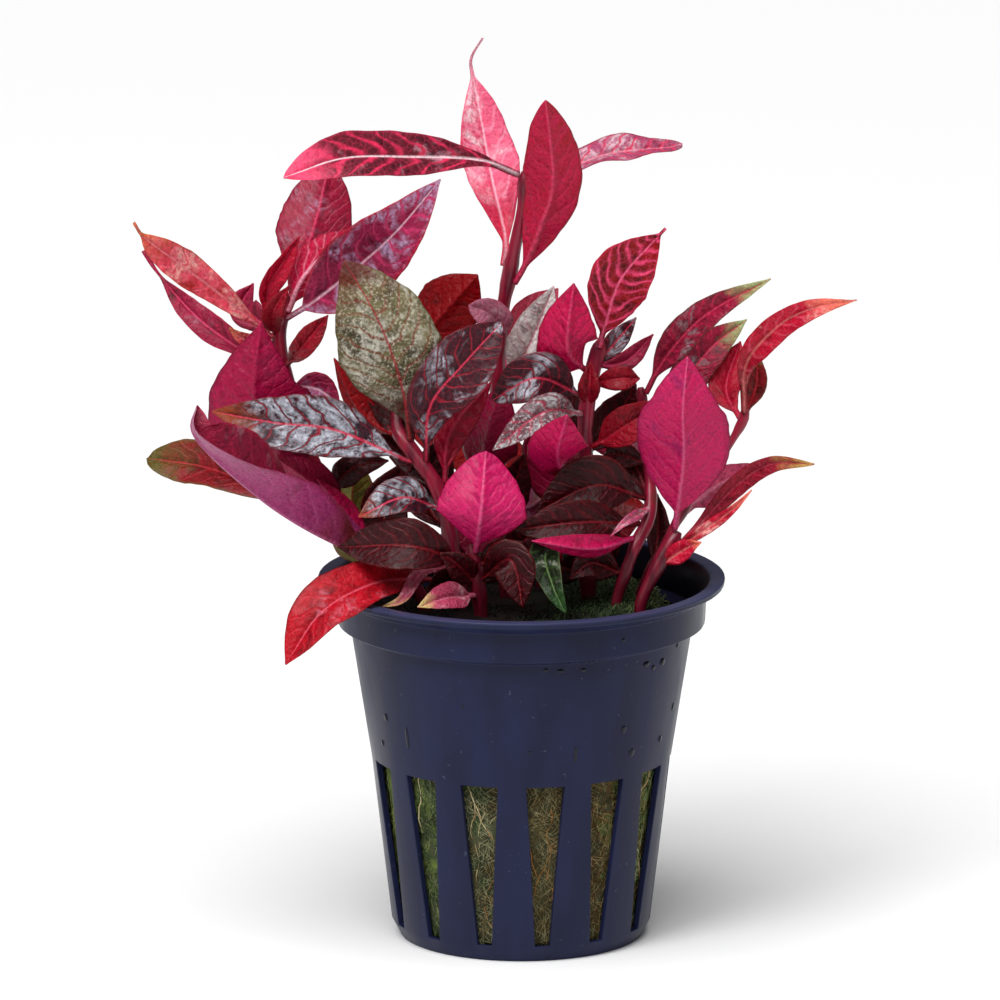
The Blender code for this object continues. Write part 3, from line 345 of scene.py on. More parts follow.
LEAVES = (
    Leaf("leaf_tall_1", 89.1, ((0.6, 92.6, 1.8), (2.6, 97.7, 0), (4.2, 103.8, -2),
         (3.2, 114.8, -6)), 4.1, "crimson_under", turn=180, widest=0.55, point=0.75),
    Leaf("leaf_tall_2", 103.8, ((-6, 106.7, -1), (-15, 107.1, -5), (-24, 106.9, -9),
         (-31.9, 104.2, -12)), 3.6, "veined_maroon", turn=24, widest=0.62, point=0.6, wave=0.3),
    Leaf("leaf_tall_3", 91.1, ((-2.2, 96, 3.5), (-3.9, 103.8, 8), (-5.2, 110.9, 11),
         (-6.5, 118, 13), (-6.7, 120.5, 13), (-5.2, 123.3, 13)), 3.9, "pale_rose", turn=10,
         widest=0.52, tail=0.17, wave=0.4),
    Leaf("leaf_tall_4", 102.8, ((6, 105.3, 5.5), (12, 107.6, 9), (21.5, 108.6, 13)), 2.9,
         "striped_mauve", turn=-50, widest=0.5, point=0.7, wave=0.3),
    Leaf("leaflet_tall_1", 80.5, ((-4, 85.2, 1.0), (-7.1, 86.8, 0)), 2.6, "rose_grey", point=0.6),
    Leaf("leaf_tall_5", 74.9, ((0.6, 80.5, 0.5), (4.3, 89.4, -1.5)), 3.2, "pale_grey"),
    Leaf("leaf_left_1", 87.1, ((-29.4, 92.6, 4.5), (-27.4, 99, 8), (-25.7, 106.6, 12)), 5.2,
         "grey_crimson_under", turn=180, widest=0.5, point=0.7),
    Leaf("leaf_left_2", 85.6, ((-28.9, 91.1, 0), (-23, 97.2, -1)), 3.2, "pink_ribbed_under",
         turn=170),
    Leaf("leaf_left_3", 84.6, ((-27.8, 87.4, -1.5), (-22.7, 91.5, -4.5), (-16.9, 96.8, -8),
         (-10.9, 104, -11)), 5.3, "purple_gloss", fold=18, widest=0.4),
    Leaf("leaf_left_4", 83.5, ((-34.2, 88.6, 0.5), (-31.6, 93.3, 0), (-29.7, 96.3, 0)), 1.8,
         "rich_red", turn=20, fold=25),
    Leaf("leaf_left_5", 81.5, ((-38.4, 86.6, -1.6), (-44.6, 91.5, -5), (-50.3, 95.8, -9),
         (-52, 98.1, -10)), 2.4, "brown_patched", widest=0.7, point=0.6, tail=0.08, wave=0.4),
    Leaf("leaf_left_6", 76.5, ((-37.8, 80.7, 5), (-43.6, 85.2, 9), (-48.6, 90.9, 12),
         (-50.7, 94.3, 13)), 2.0, "dark_maroon", turn=20, twist=-40, tail=0.15, wave=0.4),
    Leaf("leaf_left_7", 78.0, ((-29.5, 81, -3), (-26, 85.4, -4)), 1.7, "deep_red", widest=0.6),
    Leaf("leaf_left_8", 61.8, ((-32, 65.9, -3.1), (-35.8, 73.9, -4.2), (-35, 84.5, -3.4)), 7.9,
         "dark_crimson_under", turn=175, widest=0.37, point=1.05),
    Leaf("leaf_left_9", 52.2, ((-25.3, 54.2, -11), (-33.2, 58.9, -16), (-41, 65.4, -19.5),
         (-44.3, 69.5, -19.5), (-43.6, 73, -18)), 7.0, "mauve_under", turn=150, twist=-110, fold=45,
         widest=0.55, point=0.65),
    Leaf("leaf_left_10", 58.8, ((-35, 61.7, -1.5), (-43, 64.6, 3), (-50.4, 65.7, 6)), 3.3,
         "olive_edged", turn=20, wave=0.3, widest=0.72, point=0.5),
    Leaf("leaflet_left_1", 52.7, ((-25.6, 57.8, -6), (-29.3, 62.6, -7)), 1.5, "mauve_under",
         turn=150),
    Leaf("leaflet_left_2", 54.2, ((-24.2, 58.9, -4.3), (-27.6, 62.9, -4.8)), 1.6, "magenta_under",
         turn=160),
    Leaf("leaflet_left_7", 57.2, ((-28, 62.2, -4.6), (-33.5, 66.2, -7.6)), 2.9,
         "dark_crimson_under", turn=150),
    Leaf("leaflet_left_9", 51.2, ((-18.5, 58.3, 1), (-15.5, 65.4, 2)), 3.4, "black_red"),
    Leaf("leaf_left_11", 50.7, ((-21.3, 55.3, 1.5), (-22.8, 59.8, 3), (-22.2, 64.9, 3)), 4.6,
         "olive_under", turn=180, point=0.6),
    Leaf("leaflet_left_3", 74.9, ((-27.6, 75.3, 1.0), (-24.4, 73, 0)), 2.3, "purple_gloss",
         turn=-10),
    Leaf("leaflet_left_8", 49.7, ((-17.5, 49.7, -8), (-22.6, 50.8, -9.5)), 2.3, "black_red",
         turn=10),
    Leaf("leaflet_left_4", 82.5, ((-37.4, 86.4, 4.8), (-36, 89.8, 5)), 2.2, "dark_maroon"),
    Leaf("leaflet_left_5", 80.0, ((-37.2, 82.1, 0.5), (-39.3, 83.7, 0.5)), 1.1, "brown_patched"),
    Leaf("leaflet_left_6", 81.5, ((-33.4, 85.6, -0.8), (-31.3, 89.4, -1.6)), 1.6, "deep_red"),
    Leaf("leaf_centre_1", 68.9, ((-16.2, 76, -8.5), (-19.2, 84.6, -12), (-23.8, 92.9, -13)), 7.1,
         "olive_mottled", fold=8, widest=0.48, point=0.8),
    Leaf("leaf_centre_2", 76.5, ((-12.8, 82.8, 4), (-5.9, 91, 4.5)), 4.5, "red_under", turn=180,
         widest=0.62),
    Leaf("leaflet_centre_3", 69.4, ((-21.3, 71.9, -3.5), (-25.2, 79.5, -4)), 2.1, "red_under",
         turn=150),
    Leaf("leaf_centre_3", 66.9, ((-25, 69.6, -8.5), (-33, 70.6, -9.5), (-41.7, 72.2, -8)), 4.3,
         "silver_glazed", turn=5),
    Leaf("leaf_centre_4", 66.4, ((-12.3, 72.9, -10.5), (-7.8, 78.7, -11.5), (-2.7, 84.4, -10)), 4.5,
         "silver_veined", widest=0.6, point=0.75),
    Leaf("leaf_centre_5", 63.3, ((-9.5, 69.4, -6.5), (-4.1, 76.2, -4.5)), 2.5, "shaded_under",
         turn=170),
    Leaf("leaflet_centre_1", 56.3, ((-13, 60.8, -4), (-10, 69.4, -3.5)), 3.8, "black_red", turn=20),
    Leaf("leaf_centre_6", 60.8, ((-16, 60.3, -13), (-22, 57.6, -14.5)), 2.9, "silver_glazed",
         turn=25),
    Leaf("leaflet_centre_2", 51.7, ((-13.2, 50.1, -12.6), (-16, 46.2, -16), (-19, 45.1, -16.3)),
         1.2, "pink_grey", turn=30),
    Leaf("leaf_front_1", 55.8, ((-5.5, 57.8, -17), (-4.8, 66.7, -13)), 6.4, "pink_under", turn=180,
         widest=0.38, point=0.6),
    Leaf("leaf_front_2", 54.2, ((-15, 53.6, -16), (-24.8, 53.4, -12)), 3.7, "black_red", turn=12),
    Leaf("leaflet_front_1", 51.2, ((-1.5, 51.7, -16.5), (0.2, 45, -18.5)), 3.0, "black_red",
         turn=10, widest=0.55),
    Leaf("leaf_front_3", 50.2, ((-15.5, 49, -11), (-21, 48, -15), (-27.2, 44.2, -19),
         (-31.9, 37.1, -21)), 4.2, "bright_red", turn=30, widest=0.62, on="stem_centre"),
    Leaf("leaf_front_4", 49.7, ((-10, 46.4, -19), (-14, 45.1, -22)), 2.1, "pink_grey", turn=20),
    Leaf("leaf_right_1", 81.0, ((11.4, 84.7, -4), (13.4, 90.5, -7), (18.2, 96.1, -10),
         (19.3, 97.3, -10.5)), 4.3, "pink_veined", widest=0.55, tail=0.05),
    Leaf("leaf_right_2", 77.5, ((6.2, 80.9, -6.5), (7, 89.8, -6.7)), 4.4, "cerise_under", turn=180,
         widest=0.32),
    Leaf("leaf_right_3", 74.4, ((2, 76.8, -7.5), (-4, 73.7, -8.5)), 3.6, "silver_veined", turn=5,
         point=0.7),
    Leaf("leaf_right_4", 71.9, ((3, 72.1, -10.8), (-3.9, 66.8, -11.3)), 2.4, "grey_speckled"),
    Leaf("leaf_right_5", 62.3, ((5.6, 63.8, -5), (4.9, 66.6, -13), (6.1, 71.7, -16.2)), 4.2,
         "magenta_under", turn=180, widest=0.55),
    Leaf("leaflet_right_3", 58.3, ((4.5, 63.3, 0.5), (2, 71.9, 0.5)), 4.0, "dark_crimson_under",
         turn=180),
    Leaf("leaflet_right_4", 65.9, ((12.5, 70.9, 0.8), (15.4, 76, 1)), 3.0, "black_red"),
    Leaf("leaf_right_6", 67.9, ((14.3, 70.4, -6), (19.3, 73.6, -6.5)), 2.7, "deep_red"),
    Leaf("leaf_right_7", 53.2, ((3.4, 52.7, -12), (4.2, 48.2, -18.5), (6, 44.2, -20.3)), 2.3,
         "withered_green", turn=10, point=0.7),
    Leaf("leaflet_right_1", 78.5, ((14, 79.1, -1), (17.7, 82.8, 0)), 1.4, "dark_maroon"),
    Leaf("leaflet_right_2", 76.0, ((13, 76.7, -3.5), (15.9, 76.7, -3)), 1.7, "deep_red",
         widest=0.6),
    Leaf("leaf_red_1", 74.9, ((19.6, 80, -4), (24.9, 85.6, -8), (33.4, 90.4, -12)), 2.4,
         "purple_olive", turn=-10, widest=0.35),
    Leaf("leaf_red_2", 68.4, ((21.5, 75.5, 2), (25.5, 81, 3.5), (30.2, 84.8, 7.2)), 2.8,
         "purple_olive"),
    Leaf("leaflet_red_1", 65.3, ((12.8, 66.3, -3), (10.8, 65.8, -4.8)), 1.8, "black_red"),
    Leaf("leaf_red_3", 60.8, ((10, 62, -7.5), (2, 58.3, -8.5)), 4.2, "black_red", turn=5),
    Leaf("leaf_red_4", 57.3, ((8, 56.9, -12), (-1.5, 55.7, -13)), 3.0, "black_red", turn=10),
    Leaf("leaf_red_5", 55.8, ((9.5, 53.3, -15), (1.4, 54.3, -17)), 1.9, "magenta_under", turn=150),
    Leaf("leaflet_red_2", 59.8, ((14, 56.9, -12), (12, 54.9, -13)), 0.8, "striped_mauve"),
    Leaf("leaf_stub_1", 57.6, ((21.8, 65.4, -12.5), (21.7, 72.4, -15), (22.3, 79.7, -15)), 6.4,
         "purple_pink_under", turn=180, fold=6, widest=0.44, point=0.85),
    Leaf("leaf_stub_2", 56.1, ((25.4, 58.2, -8), (29.8, 62.7, -10), (34, 65, -12.5),
         (39.4, 64.9, -15)), 1.5, "yellow_tipped", turn=10, point=0.7),
    Leaf("leaflet_stub_1", 54.0, ((26.2, 56.9, -11), (28.8, 59, -12.5), (31, 61.3, -13)), 0.85,
         "flame"),
    Leaf("leaflet_stub_2", 52.6, ((22.3, 53.3, -10.5), (24.2, 54.1, -12)), 1.5, "flame"),
    Leaf("leaf_thin_1", 72.9, ((30.2, 78.7, -6), (34.3, 83.8, -9), (38.9, 86.3, -12),
         (45, 87.5, -14)), 2.0, "flame", turn=10, wave=0.3),
    Leaf("leaf_thin_2", 71.4, ((27.5, 75.5, 2), (29.4, 81.8, 6)), 2.6, "rich_red"),
    Leaf("leaf_thin_3", 59.3, ((26.5, 61.9, 0), (32.9, 64.8, 4)), 2.9, "greyed_rose_under",
         turn=165),
    Leaf("leaflet_thin", 72.2, ((31.6, 76, -2.5), (31.5, 80.5, -2)), 1.5, "olive_edged"),
    Leaf("leaf_back_1", 77.5, ((1, 84, 7), (4.9, 89.1, 9)), 3.2, "rose_pink"),
    Leaf("leaf_back_2", 62.3, ((-5, 67.4, 18), (-17, 72.4, 26)), 4.4, "red_under", turn=200),
    Leaf("leaf_back_3", 66.4, ((13, 69.4, 17), (18.5, 68.4, 26)), 4.4, "dark_crimson_under",
         turn=160),
    Leaf("leaf_back_4", 57.3, ((0, 58.8, 20), (-9, 60.3, 29)), 4.4, "mauve_under", turn=200),
    # Many of the leaflets below fill dark gaps low in the plant; their near-black red is partly
    # painted shade.
    Leaf("leaflet_tall_3", 50.7, ((-0.5, 53.2, 0.5), (2.8, 57.8, -0.5)), 2.8, "black_red"),
    Leaf("leaflet_right_7", 67.9, ((5, 73.4, 1.5), (1.5, 79, 2.5)), 3.0, "black_red"),
    Leaf("leaflet_centre_4", 49.2, ((-4.5, 50.7, -7.5), (-0.5, 49, -7.5)), 2.4, "black_red"),
    Leaf("leaflet_red_3", 51.2, ((9.5, 51.2, -11.5), (6.5, 49, -13)), 2.3, "black_red"),
    Leaf("leaflet_right_5", 50.2, ((5.3, 50.7, -6), (2, 51.7, -7.5)), 2.2, "black_red"),
    Leaf("leaflet_right_6", 51.2, ((11.5, 53.2, -5.5), (12.6, 57.8, -6)), 1.8, "black_red"),
    Leaf("leaflet_front_2", 53.2, ((-3.3, 52.7, -13.5), (0.3, 54.2, -13.5)), 1.6, "black_red"),
    Leaf("leaflet_back_1", 51.2, ((-3, 54.2, 13), (-10, 56.3, 12)), 4.2, "dark_maroon"),
    Leaf("leaflet_back_2", 52.2, ((9.5, 55.3, 11), (15.5, 56.3, 10)), 4.0, "deep_red"),
    Leaf("leaf_back_5", 73.4, ((1, 77.5, 17), (-5, 79.5, 26)), 4.3, "magenta_under", turn=190),
    Leaf("leaflet_tall_2", 60.3, ((-4.8, 66.4, -0.5), (-2.5, 76, -2)), 4.3, "dark_crimson_under",
         turn=160),
    Leaf("leaflet_left_10", 60.8, ((-22.5, 64.5, -4.0), (-17.9, 65.4, -4.5)), 2.1, "black_red"),
    Leaf("leaflet_centre_6", 62.3, ((-16.2, 66.9, -3), (-19.8, 71.4, -2)), 2.0, "black_red"),
    Leaf("leaflet_centre_7", 66.9, ((-17.8, 74.4, -2.5), (-19.8, 82.5, -2.5)), 3.2, "black_red"),
    Leaf("leaflet_right_8", 78.0, ((12, 81, 0), (15.4, 85.1, 1)), 1.6, "silver_veined"),
    Leaf("leaflet_right_9", 72.9, ((9.1, 75.6, -4.2), (9.3, 79.0, -4.0)), 1.6, "deep_red"),
    Leaf("leaflet_tall_4", 55.8, ((-1.4, 60.8, -1), (0.4, 66.4, -4)), 2.7, "black_red"),
    Leaf("leaflet_red_4", 59.8, ((15.8, 63.8, -2.0), (13.4, 67.4, -1.0)), 2.2, "black_red"),
    Leaf("leaflet_thin_2", 51.2, ((18.4, 55.1, -2.5), (18.3, 60.8, -2)), 1.7, "black_red"),
    Leaf("leaflet_centre_5", 48.7, ((-10.2, 48.4, -11), (-12.8, 47.4, -14)), 2.2, "black_red"),
    Leaf("leaflet_front_3", 50.7, ((-8.6, 51, -15), (-11, 52.6, -16)), 2.1, "black_red"),
    Leaf("leaf_back_6", 57.8, ((10, 60.3, 18), (17.5, 58.3, 26)), 4.3, "red_under", turn=160),
)


def linear(code):
    """Linear RGBA from an sRGB hex code."""
    levels = (int(code[place:place + 2], 16) / 255.0 for place in (0, 2, 4))
    return (*(level / 12.92 if level <= 0.04045 else ((level + 0.055) / 1.055) ** 2.4
              for level in levels), 1.0)


def fill(tree, node, inputs):
    """Fill a node's inputs, by name or number, with links or values."""
    for key, value in inputs.items():
        socket = node.inputs[key] if isinstance(key, int) else next(
            candidate for candidate in node.inputs if candidate.enabled and candidate.name == key)
        if isinstance(value, bpy.types.Node):
            value = next(output for output in value.outputs if output.enabled)
        if isinstance(value, bpy.types.NodeSocket):
            tree.links.new(value, socket)
        else:
            socket.default_value = value


def add_node(tree, kind, inputs=None, **settings):
    """Add a node by its type without the prefix, set its properties and fill its inputs."""
    prefix = next(start for start in ("ShaderNode", "GeometryNode", "FunctionNode", "")
                  if hasattr(bpy.types, start + kind))
    node = tree.nodes.new(prefix + kind)
    for name, value in settings.items():
        setattr(node, name, value)
    fill(tree, node, inputs or {})
    return node


def new_material(name, roughness, **constants):
    """A Principled material with its constant sockets set, its node tree and its shader."""
    made = bpy.data.materials.new(name)
    made.use_nodes = True
    shader = made.node_tree.nodes["Principled BSDF"]
    for socket, value in {"roughness": roughness, **constants}.items():
        shader.inputs[socket.replace("_", " ").title().replace("Ior", "IOR")].default_value = value
    return made, made.node_tree, shader


def add_piece(name, points, faces, materials, slot, indices=None, attributes=None):
    """A smooth mesh object at the origin, from points in millimetres."""
    mesh = bpy.data.meshes.new(name)
    mesh.from_pydata([tuple(MM * value for value in point) for point in points], [], faces)
    for surface in materials:
        mesh.materials.append(surface)
    if indices:
        mesh.polygons.foreach_set("material_index", indices)
    for label, values in (attributes or {}).items():
        layer = mesh.attributes.new(label, "FLOAT_VECTOR", "POINT")
        layer.data.foreach_set("vector", [part for value in values for part in value])
    mesh.shade_smooth()
    made = bpy.data.objects.new(name, mesh)
    bpy.context.scene.collection.objects.link(made)
    return made


def growth_tree(name, inputs):
    """A Geometry Nodes tree with named inputs after its geometry, and what adds nodes to it."""
    tree = bpy.data.node_groups.new(name, "GeometryNodeTree")
    tree.interface.new_socket("Geometry", in_out="OUTPUT", socket_type="NodeSocketGeometry")
    for label, kind in {"Geometry": "Geometry", **inputs, "Surface": "Material"}.items():
        tree.interface.new_socket(label, in_out="INPUT", socket_type="NodeSocket" + kind)
    add = partial(add_node, tree)
    return tree, add("NodeGroupInput").outputs, add


def finish_tree(tree, given, geometry):
    """End a tree in Realize Instances and Set Material, and return it."""
    solid = add_node(tree, "RealizeInstances", {"Geometry": geometry})
    smooth = add_node(tree, "SetShadeSmooth", {"Geometry": solid})
    painted = add_node(tree, "SetMaterial", {"Geometry": smooth, "Material": given["Surface"]})
    add_node(tree, "NodeGroupOutput", {"Geometry": painted})
    return tree


def grow(name, source, tree, values, bevel=None):
    """Run a tree on a source object, and turn the result into a plain mesh piece of this name."""
    modifier = source.modifiers.new("growth", "NODES")
    modifier.node_group = tree
    for item in tree.interface.items_tree:
        if item.in_out == "INPUT" and item.name in values:
            modifier[item.identifier] = values[item.name]
    if bevel:
        edges = source.modifiers.new("edges", "BEVEL")
        edges.width = bevel
        edges.segments = 2
        edges.limit_method = "ANGLE"
        edges.angle_limit = math.radians(38.0)
        edges.harden_normals = True
    graph = bpy.context.evaluated_depsgraph_get()
    mesh = bpy.data.meshes.new_from_object(source.evaluated_get(graph), depsgraph=graph,
                                           preserve_all_data_layers=True)
    bpy.data.objects.remove(source, do_unlink=True)
    mesh.name = name
    made = bpy.data.objects.new(name, mesh)
    bpy.context.scene.collection.objects.link(made)
    return made


def loft(loops):
    """Points and faces of a closed body through loops that each have the same number of points."""
    sides = len(loops[0])
    points = [point for loop in loops for point in loop]
    faces = [tuple(range(sides))[::-1]]
    for row in range(len(loops) - 1):
        for side in range(sides):
            following = (side + 1) % sides
            lower, upper = row * sides, (row + 1) * sides
            faces.append((lower + side, lower + following, upper + following, upper + side))
    faces.append(tuple(range(len(points) - sides, len(points))))
    return points, faces


def eased(value, low, high):
    """A smooth step from 0 at low to 1 at high."""
    share = min(1.0, max(0.0, (value - low) / (high - low)))
    return share * share * (3.0 - 2.0 * share)


def seed_of(name):
    """A whole number from a piece's name, the same in every run."""
    return sum((place + 1) * ord(letter) for place, letter in enumerate(name)) % 97


def seen_point(x, z, back):
    """The place of a route's point (x, z, back)."""
    reach = 1.0 + back / -VIEWPOINT.y
    return Vector((VIEWPOINT.x + (x - VIEWPOINT.x) * reach, back,
                   VIEWPOINT.z + (z - VIEWPOINT.z) * reach))


def smooth_path(points, steps=12):
    """A Catmull-Rom curve through the points, as a dense list."""
    ends = [2 * points[0] - points[1], *points, 2 * points[-1] - points[-2]]
    path = []
    for index in range(1, len(ends) - 2):
        before, start, end, after = ends[index - 1:index + 3]
        for step in range(steps):
            t = step / steps
            path.append(0.5 * (2 * start + (end - before) * t
                               + (2 * before - 5 * start + 4 * end - after) * t ** 2
                               + (3 * start - before - 3 * end + after) * t ** 3))
    path.append(points[-1].copy())
    return path


class Path:
    """A smooth path that can be read at any share of its length."""

    def __init__(self, points):
        self.points = smooth_path(points)
        self.lengths = [0.0]
        for start, end in zip(self.points, self.points[1:]):
            self.lengths.append(self.lengths[-1] + (end - start).length)

    def place(self, share):
        """The point at this share of the length."""
        target = share * self.lengths[-1]
        index = 1
        while index < len(self.points) - 1 and self.lengths[index] < target:
            index += 1
        span = self.lengths[index] - self.lengths[index - 1]
        return self.points[index - 1].lerp(self.points[index],
                                           (target - self.lengths[index - 1]) / span)

    def at(self, share):
        """The point and direction at this share of the length."""
        ahead = self.place(min(1.0, share + 0.03))
        behind = self.place(max(0.0, share - 0.03))
        return self.place(share), (ahead - behind).normalized()

    def share_at_height(self, height):
        """The share of the length where the path first reaches this height."""
        for index, point in enumerate(self.points):
            if point.z >= height:
                return self.lengths[index] / self.lengths[-1]
        return 1.0


def wool_height(x, y):
    """The height of the wool's uneven top, highest towards the front right."""
    tilt = WOOL_RISE_RIGHT * x - WOOL_RISE_FRONT * y
    along = math.sin(WOOL_LUMP_PITCH[0] * x + WOOL_LUMP_START)
    return WOOL_TOP_MEAN + tilt + WOOL_LUMP_HEIGHT * along * math.cos(WOOL_LUMP_PITCH[1] * y)


def stem_path(stem):
    """The path of a stem from its buried foot to its top."""
    x, y = stem.foot
    top = wool_height(x, y)
    foot = [Vector((x, y, top - STEM_BURIED)), Vector((x, y, top + 1.0))]
    return Path(foot + [seen_point(*point) for point in stem.route])


def stem_radius(stem, share):
    """The radius of a stem at this share of its length."""
    foot, top = stem.radius
    return foot + (top - foot) * share


def leaf_path(leaf, stem, path):
    """The path of a leaf's midrib, from just off its stem, or from inside it, to its tip."""
    share = path.share_at_height(leaf.height)
    centre, along = path.at(share)
    points = [seen_point(*point) for point in leaf.route]
    outward = points[0] - centre
    outward = (outward - along * outward.dot(along)).normalized()
    radius = stem_radius(stem, share) + NODE_SWELL
    start = 0.0 if leaf.fused else radius + LEAF_GAP * 0.2
    return Path([centre + outward * start, *points])


def half_width(leaf, share):
    """Half the leaf's width at this share of its length: stalk, blade and thread-like tail."""
    along = (share - STALK_SHARE) / (1.0 - leaf.tail - STALK_SHARE)
    narrow = STALK_HALF if along < leaf.widest else TAIL_HALF if leaf.tail else TIP_HALF
    if not 0.0 < along < 1.0:
        return narrow
    if along < leaf.widest:
        blade = math.sin(math.pi / 2 * along / leaf.widest) ** BLADE_FULLNESS
    else:
        blade = math.cos(math.pi / 2 * (along - leaf.widest) / (1.0 - leaf.widest)) ** leaf.point
    return (narrow ** 3 + (leaf.half * blade) ** 3) ** (1 / 3)


def leaf_noise(pitches, share, seed, across):
    """Noise from -1 to 1 at a place on a leaf, different for each seed."""
    along, shift, sideways = pitches
    return noise.noise(Vector((along * share, shift * seed, sideways * across)))


def leaf_mesh(leaf, path, stations, columns, sizes):
    """Points, faces, side numbers and pattern coordinates of one leaf as a thin closed blade."""
    seed = seed_of(leaf.name)
    length = path.lengths[-1]
    spacing = max(sizes.vein_spacing_least, length / sizes.vein_pairs)
    start = math.radians(leaf.fold)
    row = [-across for across in reversed(columns[1:])] + list(columns)
    points, marks = [], []
    for station in range(stations + 1):
        share = station / stations
        centre, along = path.at(share)
        to_viewer = (VIEWPOINT - centre).normalized()
        facing = (to_viewer - along * to_viewer.dot(along)).normalized()
        upward = Matrix.Rotation(math.radians(leaf.turn + leaf.twist * share), 3, along) @ facing
        sideways = along.cross(upward)
        width = half_width(leaf, share)
        full = eased(share, STALK_SHARE, 2.2 * STALK_SHARE) * (1.0 - eased(share, 0.9, 1.0))
        thin = 1.0 - TIP_THINNING * share ** 2
        sheet = BLADE_THICKNESS * thin
        under = []
        for across in row:
            side = math.copysign(1.0, across)
            ragged = 1.0 + full * sum(depth * leaf_noise(pitches, share, seed, side)
                                      for depth, pitches in EDGE_NOISES)
            reach = abs(across) * width * ragged
            end = start + math.radians(leaf.cup) * abs(across)
            if end - start > 1e-6:
                out = reach * (math.sin(end) - math.sin(start)) / (end - start)
                lift = reach * (math.cos(start) - math.cos(end)) / (end - start)
            else:
                out, lift = reach * math.cos(start), reach * math.sin(start)
            turns = math.tau * RIPPLE_TURNS * share + RIPPLE_STARTS[across < 0]
            lift += leaf.wave * across ** 2 * math.sin(turns)
            buckle = leaf_noise(BUCKLE_NOISE, share, seed, across) * abs(across)
            lift += BUCKLE * leaf.half * full * buckle
            normal = upward * math.cos(end) - sideways * side * math.sin(end) if across else upward
            lean = VEIN_LEAN * reach + VEIN_CURVE * reach ** 2 / max(leaf.half, 1.0)
            stray = VEIN_STRAY * leaf_noise(VEIN_NOISE, share, seed, across)
            veins = (share * length - lean) / spacing + stray
            gap = abs((veins + 0.5 * (across > 0)) % 1.0 - 0.5)
            bulge = math.sin(math.pi * (0.5 - gap)) if across else 0.0
            domed = sizes.quilt / MM * full * bulge * eased(abs(across), 0.0, 0.3) \
                * (1.0 - 0.8 * eased(abs(across), 0.6, 1.0))
            solid = sheet + (RIB_THICKNESS * thin - sheet) * math.exp(-(reach / RIB_HALF) ** 2)
            taper = math.sqrt(max(0.0, 1.0 - abs(across) ** (2.0 + 6.0 * full)))
            groove = sizes.rib_groove / MM * full * math.exp(-(reach / GROOVE_HALF) ** 2)
            above = (solid / 2 * (1.0 - full) + (sheet / 2 - groove) * full) * taper
            below = (solid / 2 * (1.0 - full) + (solid - sheet / 2) * full) * taper
            middle = centre + sideways * side * out + upward * lift + normal * domed
            points.append(middle + normal * above)
            marks.append(((share, across, veins),
                          (share * length + PATTERN_SHIFT * seed, side * reach, seed)))
            if abs(across) < 1.0:
                under.append((middle - normal * below, marks[-1]))
        for point, mark in under:
            points.append(point)
            marks.append(mark)
    return (points, *leaf_faces(len(row), stations), *zip(*marks))


def leaf_faces(wide, stations):
    """Faces of a leaf's rows and the side that each is on, 0 the upper and 1 the under side."""
    stride = 2 * wide - 2
    faces, sides = [], []

    def below(station, column):
        """The number of the underside's point, which the edges share with the upper side."""
        if column in (0, wide - 1):
            return station * stride + column
        return station * stride + wide + column - 1

    for station in range(stations):
        for column in range(wide - 1):
            a, d = station * stride + column, station * stride + column + 1
            faces.append((a, d, d + stride, a + stride))
            faces.append((below(station, column), below(station + 1, column),
                          below(station + 1, column + 1), below(station, column + 1)))
            sides += [0, 1]
    for station, turned in ((0, -1), (stations, 1)):
        ring = [station * stride + column for column in range(wide)]
        ring += [below(station, column) for column in range(wide - 2, 0, -1)]
        faces.append(tuple(ring[::turned]))
        sides.append(0)
    return faces, sides


